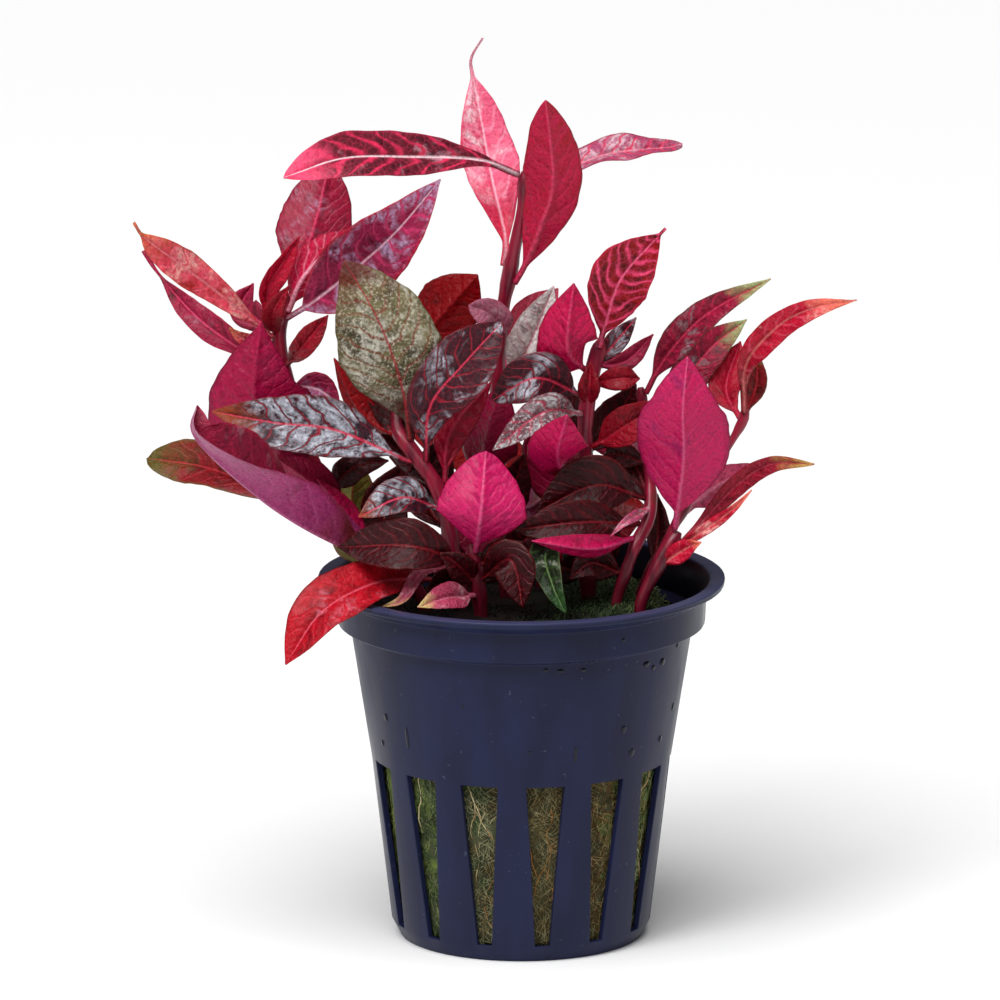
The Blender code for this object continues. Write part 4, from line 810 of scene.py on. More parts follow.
def leaf_skin(name, look):
    """Fresh waxy leaf, wet from the tank: coloured veins and patches under a thin clear gloss."""
    made, tree, shader = new_material(
        name, look.gloss, subsurface_weight=0.1, subsurface_scale=0.0008,
        subsurface_radius=(1.0, 0.25, 0.2), ior=1.42, specular_ior_level=0.22, coat_weight=0.07,
        coat_roughness=0.1)
    add = partial(add_node, tree)
    panel, dark, vein, rib_and_highlight_colour, edge_colour = look.colours.split()
    marks = add("Attribute", attribute_name="blade").outputs["Vector"]
    place = add("Attribute", attribute_name="flat").outputs["Vector"]
    share, across, phase = add("SeparateXYZ", {0: marks}).outputs
    _, off, seed = add("SeparateXYZ", {0: place}).outputs
    out = add("Math", {0: across}, operation="ABSOLUTE")
    side = add("Math", {0: across, 1: 0.0}, operation="GREATER_THAN")
    half_step = add("Math", {0: side, 1: 0.5, 2: phase}, operation="MULTIPLY_ADD")
    # Veins waver by half of their spacing every 3 mm or so.
    waver = add("TexNoise", {"Vector": place, "Scale": 0.35, "Detail": 2.0})
    lines = add("Math", {0: waver, 1: 0.9, 2: half_step}, operation="MULTIPLY_ADD")
    gap = add("Math", {0: lines, 1: 0.5}, operation="PINGPONG")
    reach = add("Math", {0: out, 1: -0.55 * look.spread, 2: look.spread},
                operation="MULTIPLY_ADD")
    veins = add("MapRange", {"Value": gap, "From Max": reach, "To Min": 1.0, "To Max": 0.0},
                interpolation_type="SMOOTHSTEP")
    # Blotches of darker pigment about 4 mm across, broken up down to half a millimetre.
    blotch = add("TexNoise", {"Vector": place, "Scale": 0.26, "Detail": 6.0, "Roughness": 0.62,
                              "Distortion": 0.7})
    blotched = add("MapRange", {"Value": blotch, "From Min": 0.66 - 0.3 * look.patchy,
                                "From Max": 0.82 - 0.3 * look.patchy})
    middle = add("Math", {0: gap, 1: 1.1, 2: 0.4}, operation="MULTIPLY_ADD")
    shade = add("Math", {0: blotched, 1: middle}, operation="MULTIPLY", use_clamp=True)
    # Net of minor veins with meshes of about 1.1 mm.
    net = add("TexVoronoi", {"Vector": place, "Scale": 0.9}, feature="DISTANCE_TO_EDGE",
              voronoi_dimensions="2D")
    meshes = add("MapRange", {"Value": net, "From Max": 0.1, "To Min": 0.25 * look.veined,
                              "To Max": 0.0})
    # Each side vein fades and comes back along its length.
    fading = add("MapRange", {"Value": waver, "From Min": 0.3, "From Max": 0.6,
                              "To Min": 0.35 * look.veined, "To Max": look.veined})
    strength = add("Math", {0: veins, 1: fading}, operation="MULTIPLY")
    layers = [(shade, dark), (meshes, vein), (strength, vein)]
    grain = add("TexNoise", {"Vector": place, "Scale": 2.4, "Detail": 4.0, "Roughness": 0.7})
    if look.speckle:
        # Pale flecks of about 0.3 mm where the pigment has gone.
        flecks = add("MapRange", {"Value": grain, "From Min": 0.52, "From Max": 0.62,
                                  "To Max": 0.8 * look.speckle})
        layers.append((flecks, look.glazed))
    if look.glaze:
        # Painted sheen: pale patches about 5 mm across that stand in for the gloss reflection
        # between the quilted veins, in streaks of about half a millimetre that run with the side
        # veins and leave the veins themselves clear.
        patch = add("TexNoise", {"Vector": place, "Scale": 0.2, "Detail": 3.0, "Distortion": 0.8})
        sheen_cover = add("MapRange", {"Value": patch, "From Min": 0.66 - 0.27 * look.glaze,
                                   "From Max": 0.78 - 0.27 * look.glaze, "To Max": 0.9})
        drawn = add("CombineXYZ", {"X": lines, "Y": out, "Z": seed})
        streaks = add("TexNoise", {"Vector": drawn, "Scale": 2.6, "Detail": 5.0,
                                   "Roughness": 0.66})
        broken = add("TexNoise", {"Vector": place, "Scale": 1.3, "Detail": 6.0,
                                  "Roughness": 0.72, "Distortion": 0.4})
        sheen_pattern = add("Math", {0: streaks, 1: broken}, operation="ADD")
        sheen_mask = add("MapRange", {"Value": sheen_pattern, "From Min": 0.84, "From Max": 1.16})
        between = add("MapRange", {"Value": gap, "From Min": 0.02, "From Max": 0.14},
                      interpolation_type="SMOOTHSTEP")
        for limit in (sheen_cover, between):
            sheen_mask = add("Math", {0: limit, 1: sheen_mask}, operation="MULTIPLY")
        layers.append((sheen_mask, look.glazed))
    edge = add("MapRange", {"Value": out, "From Min": 0.86, "From Max": 1.0, "To Max": 0.7})
    layers.append((edge, edge_colour))
    uneven = add("Math", {0: blotch, 1: 0.45, 2: share}, operation="MULTIPLY_ADD")
    for code, least, most, start, end in ((look.tip, 0.98, 1.16, 0.0, 0.92),
                                          (look.base, 0.38, 0.6, 0.9, 0.0)):
        if code:
            layers.append((add("MapRange", {"Value": uneven, "From Min": least, "From Max": most,
                                            "To Min": start, "To Max": end}), code))
    # The midrib is about 0.9 mm wide at the base and a third of that near the tip. On some skins
    # its pale colour is a painted highlight along it.
    rib_half = add("Math", {0: share, 1: -0.34, 2: 0.45}, operation="MULTIPLY_ADD")
    off_rib = add("Math", {0: off}, operation="ABSOLUTE")
    rib = add("MapRange", {"Value": off_rib, "From Max": rib_half, "To Min": look.ribbed,
                           "To Max": 0.0}, interpolation_type="SMOOTHSTEP")
    layers.append((rib, rib_and_highlight_colour))
    colour = linear(panel)
    for factor, code in layers:
        colour = add("Mix", {"Factor": factor, "A": colour, "B": linear(code)}, data_type="RGBA")
    # A third lighter and darker from place to place, down to 0.4 mm.
    lit = add("MapRange", {"Value": grain, "From Min": 0.25, "From Max": 0.75, "To Min": 0.6,
                           "To Max": 1.35})
    colour = add("Mix", {"Factor": 1.0, "A": colour, "B": lit}, data_type="RGBA",
                 blend_type="MULTIPLY")
    sunk = add("Math", {0: veins, 1: -0.6, 2: net}, operation="MULTIPLY_ADD")
    height = add("Math", {0: grain, 1: 1.1, 2: sunk}, operation="MULTIPLY_ADD")
    bump = add("Bump", {"Strength": 0.5, "Distance": 0.0003, "Height": height})
    rough = add("MapRange", {"Value": grain, "From Min": 0.3, "From Max": 0.7,
                             "To Min": look.gloss - 0.1, "To Max": look.gloss + 0.15})
    fill(tree, shader, {"Base Color": colour, "Normal": bump, "Roughness": rough})
    return made


def stem_skin(sizes):
    """Fleshy stem: fine lengthwise ridges under a satin skin, red with greenish streaks."""
    made, tree, shader = new_material("fleshy_red_stem", 0.38, subsurface_weight=0.1,
                                      subsurface_scale=0.0008, ior=1.42, coat_weight=0.15,
                                      coat_roughness=0.2)
    add = partial(add_node, tree)
    place = add("TexCoord").outputs["Object"]
    # Ridges about 0.25 mm apart round the stem and many times longer along it.
    drawn = add("Mapping", {"Vector": place, "Scale": (1.0, 1.0, 0.12)})
    ridges = add("TexNoise", {"Vector": drawn, "Scale": 2600.0, "Detail": 2.0})
    streaks = add("TexNoise", {"Vector": drawn, "Scale": 700.0, "Detail": 3.0})
    colour = add_ramp(add, streaks, ((0.34, linear("5c0820")), (0.6, (*sizes.colour, 1.0)),
                                     (0.78, linear("6c2c28"))))
    # The feet carry painted shade next to the wool, clearing by 14 mm above it.
    height = add("SeparateXYZ", {0: place}).outputs["Z"]
    clear = add("MapRange", {"Value": height, "From Min": WOOL_TOP_MEAN * MM,
                             "From Max": (WOOL_TOP_MEAN + FOOT_SHADE_HEIGHT) * MM, "To Min": 0.35})
    colour = add("Mix", {"Factor": 1.0, "A": colour, "B": clear}, data_type="RGBA",
                 blend_type="MULTIPLY")
    bump = add("Bump", {"Strength": 0.4, "Distance": 0.0001, "Height": ridges})
    fill(tree, shader, {"Base Color": colour, "Normal": bump})
    return made


def add_ramp(add, factor, stops):
    """The colour of a ramp through stops, each a position and a colour."""
    ramp = add("ValToRGB", {"Fac": factor})
    elements = ramp.color_ramp.elements
    elements[0].position, elements[0].color = stops[0]
    elements[1].position, elements[1].color = stops[-1]
    for position, colour in stops[1:-1]:
        elements.new(position).color = colour
    return ramp.outputs["Color"]


def pot_plastic(sizes):
    """Injection-moulded polypropylene: blue-black, satin, faintly mottled by flow and lime."""
    made, tree, shader = new_material("moulded_polypropylene", 0.36, ior=1.49,
                                      specular_ior_level=0.16)
    add = partial(add_node, tree)
    place = add("TexCoord").outputs["Object"]
    # Flow marks of the moulding, about 5 mm wide and drawn out down the wall.
    drawn = add("Mapping", {"Vector": place, "Scale": (1.0, 1.0, 0.3)})
    flow = add("TexNoise", {"Vector": drawn, "Scale": 200.0, "Detail": 4.0})
    toned = add("MapRange", {"Value": flow, "From Min": 0.35, "From Max": 0.7})
    # Painted shade makes the inside nearly black, and a painted highlight makes the top of the
    # rim pale.
    facing = add("NewGeometry").outputs["Normal"]
    round_axis = add("VectorMath", {0: place, 1: (1.0, 1.0, 0.0)}, operation="MULTIPLY")
    outward = add("VectorMath", {0: facing, 1: round_axis}, operation="DOT_PRODUCT")
    painted_inner_shade = add("MapRange", {"Value": outward, "From Min": -0.012, "From Max": -0.002,
                             "To Min": 0.1})
    height = add("SeparateXYZ", {0: place}).outputs["Z"]
    rim = POT_RINGS[-1][1] * MM
    painted_rim_highlight = add("MapRange", {"Value": height, "From Min": rim - 0.0004, "From Max": rim,
                              "To Max": 0.5})
    # Dried lime specks under a millimetre across.
    lime = add("TexNoise", {"Vector": place, "Scale": 1400.0, "Detail": 2.0})
    specks = add("MapRange", {"Value": lime, "From Min": 0.7, "From Max": 0.82, "To Max": 0.2})
    colour = linear("171b36")
    for factor, laid, blend in (
            (toned, (*sizes.colour, 1.0), "MIX"), (1.0, painted_inner_shade, "MULTIPLY"),
            (painted_rim_highlight, linear("4a4c70"), "MIX"), (specks, linear("8e97ad"), "MIX")):
        colour = add("Mix", {"Factor": factor, "A": colour, "B": laid}, data_type="RGBA",
                     blend_type=blend)
    rough = add("MapRange", {"Value": flow, "From Min": 0.3, "From Max": 0.7, "To Min": 0.26,
                             "To Max": 0.46})
    bump = add("Bump", {"Strength": 0.12, "Distance": 0.0002, "Height": flow})
    fill(tree, shader, {"Base Color": colour, "Normal": bump, "Roughness": rough})
    return made


def wool_colours(add, place, stops, scale):
    """A colour ramp that changes round the plug from side to side, broken up by patches."""
    along = add("SeparateXYZ", {0: place}).outputs["X"]
    patches = add("TexNoise", {"Vector": place, "Scale": scale, "Detail": 4.0, "Roughness": 0.6})
    shift = add("Math", {0: along, 1: 17.0, 2: 0.15}, operation="MULTIPLY_ADD")
    mixed = add("Math", {0: patches, 1: 0.7, 2: shift}, operation="MULTIPLY_ADD")
    return add_ramp(add, mixed, [(position, linear(code)) for position, code in stops])


def fibre_material(name, stops, roughness, scale=260.0, top_stops=None):
    """Wet mineral fibre or root: matt strands whose colour drifts over the plug."""
    made, tree, shader = new_material(name, roughness, ior=1.45, specular_ior_level=0.2)
    add = partial(add_node, tree)
    place = add("TexCoord").outputs["Object"]
    colour = wool_colours(add, place, stops, scale)
    if top_stops:
        # The top is darker: nearly black-red at the left, and green where moss has taken.
        height = add("SeparateXYZ", {0: place}).outputs["Z"]
        brow = WOOL_SIDE[-1][1]
        upper = add("MapRange", {"Value": height, "From Min": (brow - 1.5) * MM,
                                 "From Max": brow * MM})
        colour = add("Mix", {"Factor": upper, "A": colour,
                             "B": wool_colours(add, place, top_stops, scale)}, data_type="RGBA")
    # Matted strands about 0.6 mm apart, drawn out upright.
    drawn = add("Mapping", {"Vector": place, "Scale": (1.0, 1.0, 0.4)})
    grain = add("TexNoise", {"Vector": drawn, "Scale": 1100.0, "Detail": 4.0})
    bump = add("Bump", {"Strength": 0.8, "Distance": 0.0005, "Height": grain})
    fill(tree, shader, {"Base Color": colour, "Normal": bump})
    return made


def water():
    """Drops of tank water: clear and glossy, and dark where they show the wet wall below."""
    made, tree, shader = new_material("standing_water", 0.04, ior=1.33, transmission_weight=0.4)
    add = partial(add_node, tree)
    cloud = add("TexNoise", {"Vector": add("TexCoord").outputs["Object"], "Scale": 900.0})
    tint = add("Mix", {"Factor": cloud, "A": linear("1c2136"), "B": linear("0c0f1e")},
               data_type="RGBA")
    fill(tree, shader, {"Base Color": tint})
    return made


def sector_offsets(ring):
    """The angles of one sector's columns at a ring: left rib, slot and right rib."""
    radius, height = ring[0], ring[1]
    if height < SLOT_BOTTOM_RING[1]:
        half = min(SLOT_HALF_TOP, FLOOR_SLOT_HALF_WIDTH / radius)
        if radius > FLOOR_SLOT_END:
            half = SLOT_HALF_BOTTOM
    else:
        rise = (height - SLOT_BOTTOM_RING[1]) / (SLOT_TOP_RING[1] - SLOT_BOTTOM_RING[1])
        half = SLOT_HALF_BOTTOM + (SLOT_HALF_TOP - SLOT_HALF_BOTTOM) * min(rise, 1.0)
    rib = SLOT_PITCH / 2 - half
    left = [-SLOT_PITCH / 2 + rib * share for share in RIB_COLUMNS]
    right = [SLOT_PITCH / 2 - rib * share for share in reversed(RIB_COLUMNS)]
    return left + [half * share for share in SLOT_COLUMNS] + right


def pot_sector():
    """One slot's share of the pot, centred on -Y, open where it meets the next sector."""
    outer, inner = [(0.0, 0.0, 0.0)], [(0.0, 0.0, POT_WALL)]
    for ring in POT_RINGS:
        outer_radius, outer_z, inner_radius, inner_z = ring
        for angle in sector_offsets(ring):
            side, front = math.sin(angle), -math.cos(angle)
            outer.append((outer_radius * side, outer_radius * front, outer_z))
            inner.append((inner_radius * side, inner_radius * front, inner_z))
    columns = len(sector_offsets(POT_RINGS[0]))
    shift = len(outer)
    first = len(RIB_COLUMNS)
    last = first + len(SLOT_COLUMNS) - 1
    slot_rows = range(POT_RINGS.index(SLOT_BOTTOM_RING), POT_RINGS.index(SLOT_TOP_RING))

    def is_open(row, column):
        """Whether the face above this ring and right of this column is part of a slot."""
        return first <= column < last and (row == 0 or row in slot_rows)

    faces = []
    for column in range(columns - 1):
        faces.append((0, column + 2, column + 1))
        faces.append((shift, shift + column + 1, shift + column + 2))
    for row in range(len(POT_RINGS) - 1):
        for column in range(columns - 1):
            a = 1 + row * columns + column
            b, c, d = a + 1, a + columns, a + columns + 1
            if not is_open(row, column):
                faces.append((a, b, d, c))
                faces.append((shift + c, shift + d, shift + b, shift + a))
                continue
            if not is_open(row - 1, column):
                faces.append((a, shift + a, shift + b, b)[::-1])
            if not is_open(row + 1, column):
                faces.append((c, d, shift + d, shift + c)[::-1])
            if not is_open(row, column - 1):
                faces.append((a, shift + a, shift + c, c))
            if not is_open(row, column + 1):
                faces.append((b, d, shift + d, shift + b))
    top = 1 + (len(POT_RINGS) - 1) * columns
    for column in range(top, top + columns - 1):
        faces.append((column, column + 1, shift + column + 1, shift + column))
    return outer + inner, faces


def wool_surface(rows_up, sides):
    """Rings of the wool plug from its foot up its side and over its top to the middle."""
    loops = []
    for step in range(rows_up + 1):
        share = step / rows_up * (len(WOOL_SIDE) - 1)
        index = min(int(share), len(WOOL_SIDE) - 2)
        (low_radius, low), (high_radius, high) = WOOL_SIDE[index:index + 2]
        part = share - index
        loops.append((low_radius + (high_radius - low_radius) * part,
                      low + (high - low) * part, 0.0))
    rim, brow = WOOL_SIDE[-1]
    for step in range(1, WOOL_TOP_RINGS):
        inward = step / WOOL_TOP_RINGS
        loops.append((rim * math.sqrt(1.0 - inward), None, inward))
    rings = []
    for radius, height, inward in loops:
        level = WOOL_TOP_MEAN if height is None else height
        deep = min(1.0, max(0.0, (level - WOOL_DENT_START) / (WOOL_DENT_FULL - WOOL_DENT_START)))
        ring = []
        for side in range(sides):
            angle = math.tau * side / sides
            off = abs((angle + math.pi) % math.tau - math.pi)
            inside = max(0.0, 1.0 - off / WOOL_DENT_HALF)
            reach = radius - WOOL_DENT_DEPTH * deep * math.sin(inside * math.pi / 2) ** 2
            x, y = reach * math.cos(angle), reach * math.sin(angle)
            spot = Vector((x, y, WOOL_NOISE_DRAWN * level))
            lump = noise.fractal(spot * WOOL_NOISE_PITCH, 1.0, 2.0, 4)
            if height is None:
                rise = wool_height(x, y) - brow + WOOL_TOP_NOISE * lump
                ring.append((x, y, brow + rise * eased(inward, 0.0, 0.25)))
            else:
                # The side may only sink, so that it stays clear of the pot's wall.
                sunk = min(1.0, 1.0 + (WOOL_SIDE_NOISE * lump - WOOL_SIDE_SUNK)
                           * eased(level, 1.2, 6.0))
                ring.append((x * sunk, y * sunk, height))
        rings.append(ring)
    return rings


def fibre_tree():
    """Strands scattered over a surface, turned at random and strayed by noise."""
    tree, given, add = growth_tree("scattered_strands", {
        **dict.fromkeys(("Start", "End", "Turn Least", "Turn Most"), "Vector"),
        **dict.fromkeys(("Density", "Least Scale", "Most Scale", "Stray", "Stray Scale",
                         "Thickness", "Bare Until", "Full From", "Inner", "Outer", "Slope"),
                        "Float"), "Steps": "Int", "Seed": "Int"})
    spot = add("InputPosition")
    sideways = add("SeparateXYZ", {0: spot}).outputs["X"]
    grown = add("MapRange", {"Value": sideways, "From Min": given["Bare Until"],
                             "From Max": given["Full From"], "To Min": 0.1})
    density = add("Math", {0: given["Density"], 1: grown}, operation="MULTIPLY")
    spread = add("DistributePointsOnFaces", {"Mesh": given["Geometry"], "Density": density,
                                             "Seed": given["Seed"]}).outputs
    upright = add("AxesToRotation", {0: spread["Normal"], 1: (0.0, 0.0, 1.0)},
                  primary_axis="Z", secondary_axis="X")
    line = add("CurvePrimitiveLine", {"Start": given["Start"], "End": given["End"]})
    strand = add("ResampleCurve", {"Curve": line, "Count": given["Steps"]})
    size = add("RandomValue", {"Min": given["Least Scale"], "Max": given["Most Scale"],
                               "Seed": given["Seed"]}, data_type="FLOAT")
    placed = add("InstanceOnPoints", {"Points": spread["Points"], "Instance": strand,
                                      "Rotation": upright, "Scale": size})
    turn = add("RandomValue", {"Min": given["Turn Least"], "Max": given["Turn Most"],
                               "Seed": given["Seed"]}, data_type="FLOAT_VECTOR")
    turned = add("RotateInstances", {"Instances": placed, "Rotation": turn, "Local Space": True})
    real = add("RealizeInstances", {"Geometry": turned})
    drift = add("TexNoise", {"Vector": spot, "Scale": given["Stray Scale"], "Detail": 2.0})
    centred = add("VectorMath", {0: drift.outputs["Color"], 1: (0.5, 0.5, 0.5)},
                  operation="SUBTRACT")
    stray = add("VectorMath", {0: centred, "Scale": given["Stray"]}, operation="SCALE")
    moved = add("SetPosition", {"Geometry": real, "Offset": stray})
    # Strands stay between the wool and the wall: a band of radii that widens with height.
    x, y, z = add("SeparateXYZ", {0: spot}).outputs
    level = add("Math", {0: z, 1: WOOL_SIDE[0][1] * MM}, operation="MAXIMUM")
    flat = add("CombineXYZ", {"X": x, "Y": y})
    radius = add("VectorMath", {0: flat}, operation="LENGTH")
    inner, outer = (add("Math", {0: level, 1: given["Slope"], 2: given[side]},
                        operation="MULTIPLY_ADD") for side in ("Inner", "Outer"))
    held = add("Clamp", {"Value": radius, "Min": inner, "Max": outer})
    ratio = add("Math", {0: held, 1: radius}, operation="DIVIDE")
    pulled = add("VectorMath", {0: flat, "Scale": ratio}, operation="SCALE")
    kept = add("VectorMath", {0: pulled, 1: add("CombineXYZ", {"Z": level})}, operation="ADD")
    inside = add("SetPosition", {"Geometry": moved, "Position": kept})
    section = add("CurvePrimitiveCircle", {"Resolution": 3, "Radius": given["Thickness"]},
                  mode="RADIUS")
    return finish_tree(tree, given, add("CurveToMesh", {
        "Curve": inside, "Profile Curve": section, "Fill Caps": True}))


def stem_tree():
    """A tube along the source's line of points, as wide as each point's own width."""
    tree, given, add = growth_tree("tube_along_path", {"Sides": "Int"})
    curve = add("MeshToCurve", {"Mesh": given["Geometry"]})
    width = add("InputNamedAttribute", {"Name": "width"}, data_type="FLOAT_VECTOR")
    factor = add("SeparateXYZ", {0: width}).outputs["X"]
    section = add("CurvePrimitiveCircle", {"Resolution": given["Sides"], "Radius": MM},
                  mode="RADIUS")
    return finish_tree(tree, given, add("CurveToMesh", {
        "Curve": curve, "Profile Curve": section, "Scale": factor, "Fill Caps": True}))


def ring_tree():
    """Copies of the source sector round the pot's axis, joined where they meet."""
    tree, given, add = growth_tree("sectors_round_axis", {"Count": "Int", "First Angle": "Float"})
    points = add("Points", {"Count": given["Count"]})
    step = add("Math", {0: math.tau, 1: given["Count"]}, operation="DIVIDE")
    angle = add("Math", {0: add("InputIndex"), 1: step, 2: given["First Angle"]},
                operation="MULTIPLY_ADD")
    copies = add("InstanceOnPoints", {"Points": points, "Instance": given["Geometry"],
                                      "Rotation": add("CombineXYZ", {"Z": angle})})
    real = add("RealizeInstances", {"Geometry": copies})
    return finish_tree(tree, given, add("MergeByDistance", {"Geometry": real,
                                                            "Distance": 2e-6}))


def drop_tree():
    """A flattened bead at each point of the source, facing the way that the point's wall faces."""
    tree, given, add = growth_tree("beads_on_wall", {})
    bead = add("MeshIcoSphere", {"Radius": MM, "Subdivisions": 3})
    facing, size = (add("InputNamedAttribute", {"Name": label}, data_type="FLOAT_VECTOR")
                    for label in ("facing", "width"))
    turn = add("AxesToRotation", {0: facing, 1: (0.0, 0.0, 1.0)}, primary_axis="Z",
               secondary_axis="X")
    return finish_tree(tree, given, add("InstanceOnPoints", {
        "Points": given["Geometry"], "Instance": bead, "Rotation": turn, "Scale": size}))


class StageSettings(bpy.types.PropertyGroup):
    """The floor, the light and the camera."""

    floor_side: FloatProperty(name="Floor side", description="Side of the square floor",
                              default=14.0, unit="LENGTH")
    floor_colour: FloatVectorProperty(name="Floor colour", description="Colour of the plain floor",
                                      subtype="COLOR", default=(0.94, 0.94, 0.94))
    surround: FloatProperty(name="Surround", description="Brightness of the white surround",
                            default=0.14)
    overhead: FloatProperty(name="Overhead light", description="Strength of the wide light above",
                            default=3.0)
    overhead_spread: FloatProperty(name="Overhead spread",
                                   description="Angle that the wide light above fills",
                                   default=math.radians(55.0), subtype="ANGLE")
    key_power: FloatProperty(name="Key light", description="Power of the soft light in front",
                             default=2.6, unit="POWER")
    lens: FloatProperty(name="Focal length", description="Focal length on a 36 mm sensor",
                        default=427.4, unit="CAMERA")


class PotSettings(bpy.types.PropertyGroup):
    """The net pot."""

    slots: IntProperty(name="Slots", description="Number of slots round the wall",
                       default=SLOT_COUNT, min=3)
    edge: FloatProperty(name="Edge rounding", description="Width of the rounding of moulded edges",
                        default=0.00016, unit="LENGTH")
    colour: FloatVectorProperty(name="Plastic", description="Colour of the plastic",
                                subtype="COLOR", default=linear("1e2342")[:3])


class WoolSettings(bpy.types.PropertyGroup):
    """The rock wool, its fibres, roots and moss."""

    fibre_density: FloatProperty(name="Fibre density", description="Fibres for each square metre",
                                 default=2300000.0)
    fibre_radius: FloatProperty(name="Fibre radius", description="Radius of a strand of fibres",
                                default=0.00004, unit="LENGTH")
    root_density: FloatProperty(name="Root density", description="Roots for each square metre",
                                default=14000.0)
    moss_density: FloatProperty(name="Moss density", description="Shoots for each square metre",
                                default=3000000.0)
    seed: IntProperty(name="Seed", description="Seed of the scattered strands", default=4)


class PlantSettings(bpy.types.PropertyGroup):
    """The stems and the leaves."""

    colour: FloatVectorProperty(name="Stem", description="Main colour of the stems",
                                subtype="COLOR", default=linear("981034")[:3])
    stem_sides: IntProperty(name="Stem sides", description="Sides of a stem's section",
                            default=20, min=6)
    leaf_stations: IntProperty(name="Leaf stations", description="Rows of faces along a leaf",
                               default=56, min=8)
    vein_pairs: IntProperty(name="Vein pairs", description="Pairs of side veins of a long leaf",
                            default=10, min=1)
    vein_spacing_least: FloatProperty(name="Least vein spacing",
                                      description="Least distance between side veins, in mm",
                                      default=2.0)
    quilt: FloatProperty(name="Quilting", description="Bulge of the blade between side veins",
                         default=0.00016, unit="LENGTH")
    rib_groove: FloatProperty(name="Rib groove", description="Depth of the groove over the midrib",
                              default=0.00014, unit="LENGTH")


class PLANT_OT_stage(bpy.types.Operator):
    """Set out the pale floor, the soft light and the camera"""

    bl_idname = "plant.stage"
    bl_label = "Stage"

    def execute(self, context):
        sizes = context.scene.plant_stage
        reach = sizes.floor_side / 2
        mesh = bpy.data.meshes.new("floor")
        mesh.from_pydata([(-reach, -reach, 0), (reach, -reach, 0), (reach, reach, 0),
                          (-reach, reach, 0)], [], [(0, 1, 2, 3)])
        made, _, shader = new_material("matt_white_board", 0.9)
        shader.inputs["Base Color"].default_value = (*sizes.floor_colour, 1.0)
        mesh.materials.append(made)
        floor = bpy.data.objects.new("floor", mesh)
        context.scene.collection.objects.link(floor)
        world = bpy.data.worlds.new("white_surround")
        world.use_nodes = True
        background = world.node_tree.nodes["Background"]
        background.inputs["Color"].default_value = (1.0, 1.0, 1.0, 1.0)
        background.inputs["Strength"].default_value = sizes.surround
        context.scene.world = world
        for name, kind, place, side, power in (
                ("overhead_light", "SUN", (-0.15, -0.5, 1.2), None, sizes.overhead),
                ("key_light", "AREA", (-0.35, -0.5, 0.7), 0.3, sizes.key_power)):
            lamp = bpy.data.lights.new(name, kind)
            if side:
                lamp.size = side
            else:
                lamp.angle = sizes.overhead_spread
            lamp.energy = power
            light = bpy.data.objects.new(name, lamp)
            light.location = place
            aim = LOOK_AT * MM - Vector(place)
            light.rotation_euler = aim.to_track_quat("-Z", "Y").to_euler()
            context.scene.collection.objects.link(light)
        lens = bpy.data.cameras.new("camera")
        lens.lens = sizes.lens
        lens.clip_start = 0.01
        lens.clip_end = 30.0
        camera = bpy.data.objects.new("camera", lens)
        camera.location = VIEWPOINT * MM
        camera.rotation_euler = (LOOK_AT - VIEWPOINT).to_track_quat("-Z", "Y").to_euler()
        context.scene.collection.objects.link(camera)
        context.scene.camera = camera
        context.scene.view_settings.view_transform = "Standard"
        return {"FINISHED"}


class PLANT_OT_pot(bpy.types.Operator):
    """Build the slotted net pot from one sector, repeated round its axis"""

    bl_idname = "plant.pot"
    bl_label = "Net pot"

    def execute(self, context):
        sizes = context.scene.plant_pot
        source = add_piece("pot_sector", *pot_sector(), [], None)
        pot = grow("net_pot", source, ring_tree(),
                   {"Count": sizes.slots, "First Angle": FIRST_SLOT,
                    "Surface": pot_plastic(sizes)}, bevel=sizes.edge)
        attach(pot, "root")
        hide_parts("pot")
        return {"FINISHED"}


class PLANT_OT_drops(bpy.types.Operator):
    """Set the drops of tank water on the pot's wall"""

    bl_idname = "plant.drops"
    bl_label = "Drops"

    def execute(self, context):
        points, facings, widths = [], [], []
        for angle, height, half_across, half_up in DROPS:
            turn = math.radians(angle)
            row = next(row for row, ring in enumerate(POT_RINGS) if ring[1] > height)
            (low, foot), (high, head) = POT_RINGS[row - 1][:2], POT_RINGS[row][:2]
            radius = low + (high - low) * (height - foot) / (head - foot)
            points.append((radius * math.sin(turn), -radius * math.cos(turn), height))
            facings.append((math.sin(turn), -math.cos(turn), (low - high) / (head - foot)))
            widths.append((half_up, half_across, DROP_BULGE * half_across))
        source = add_piece("drop_places", points, [], [], None,
                           attributes={"facing": facings, "width": widths})
        drops = grow("drops", source, drop_tree(), {"Surface": water()})
        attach(drops, "root")
        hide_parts("pot")
        return {"FINISHED"}


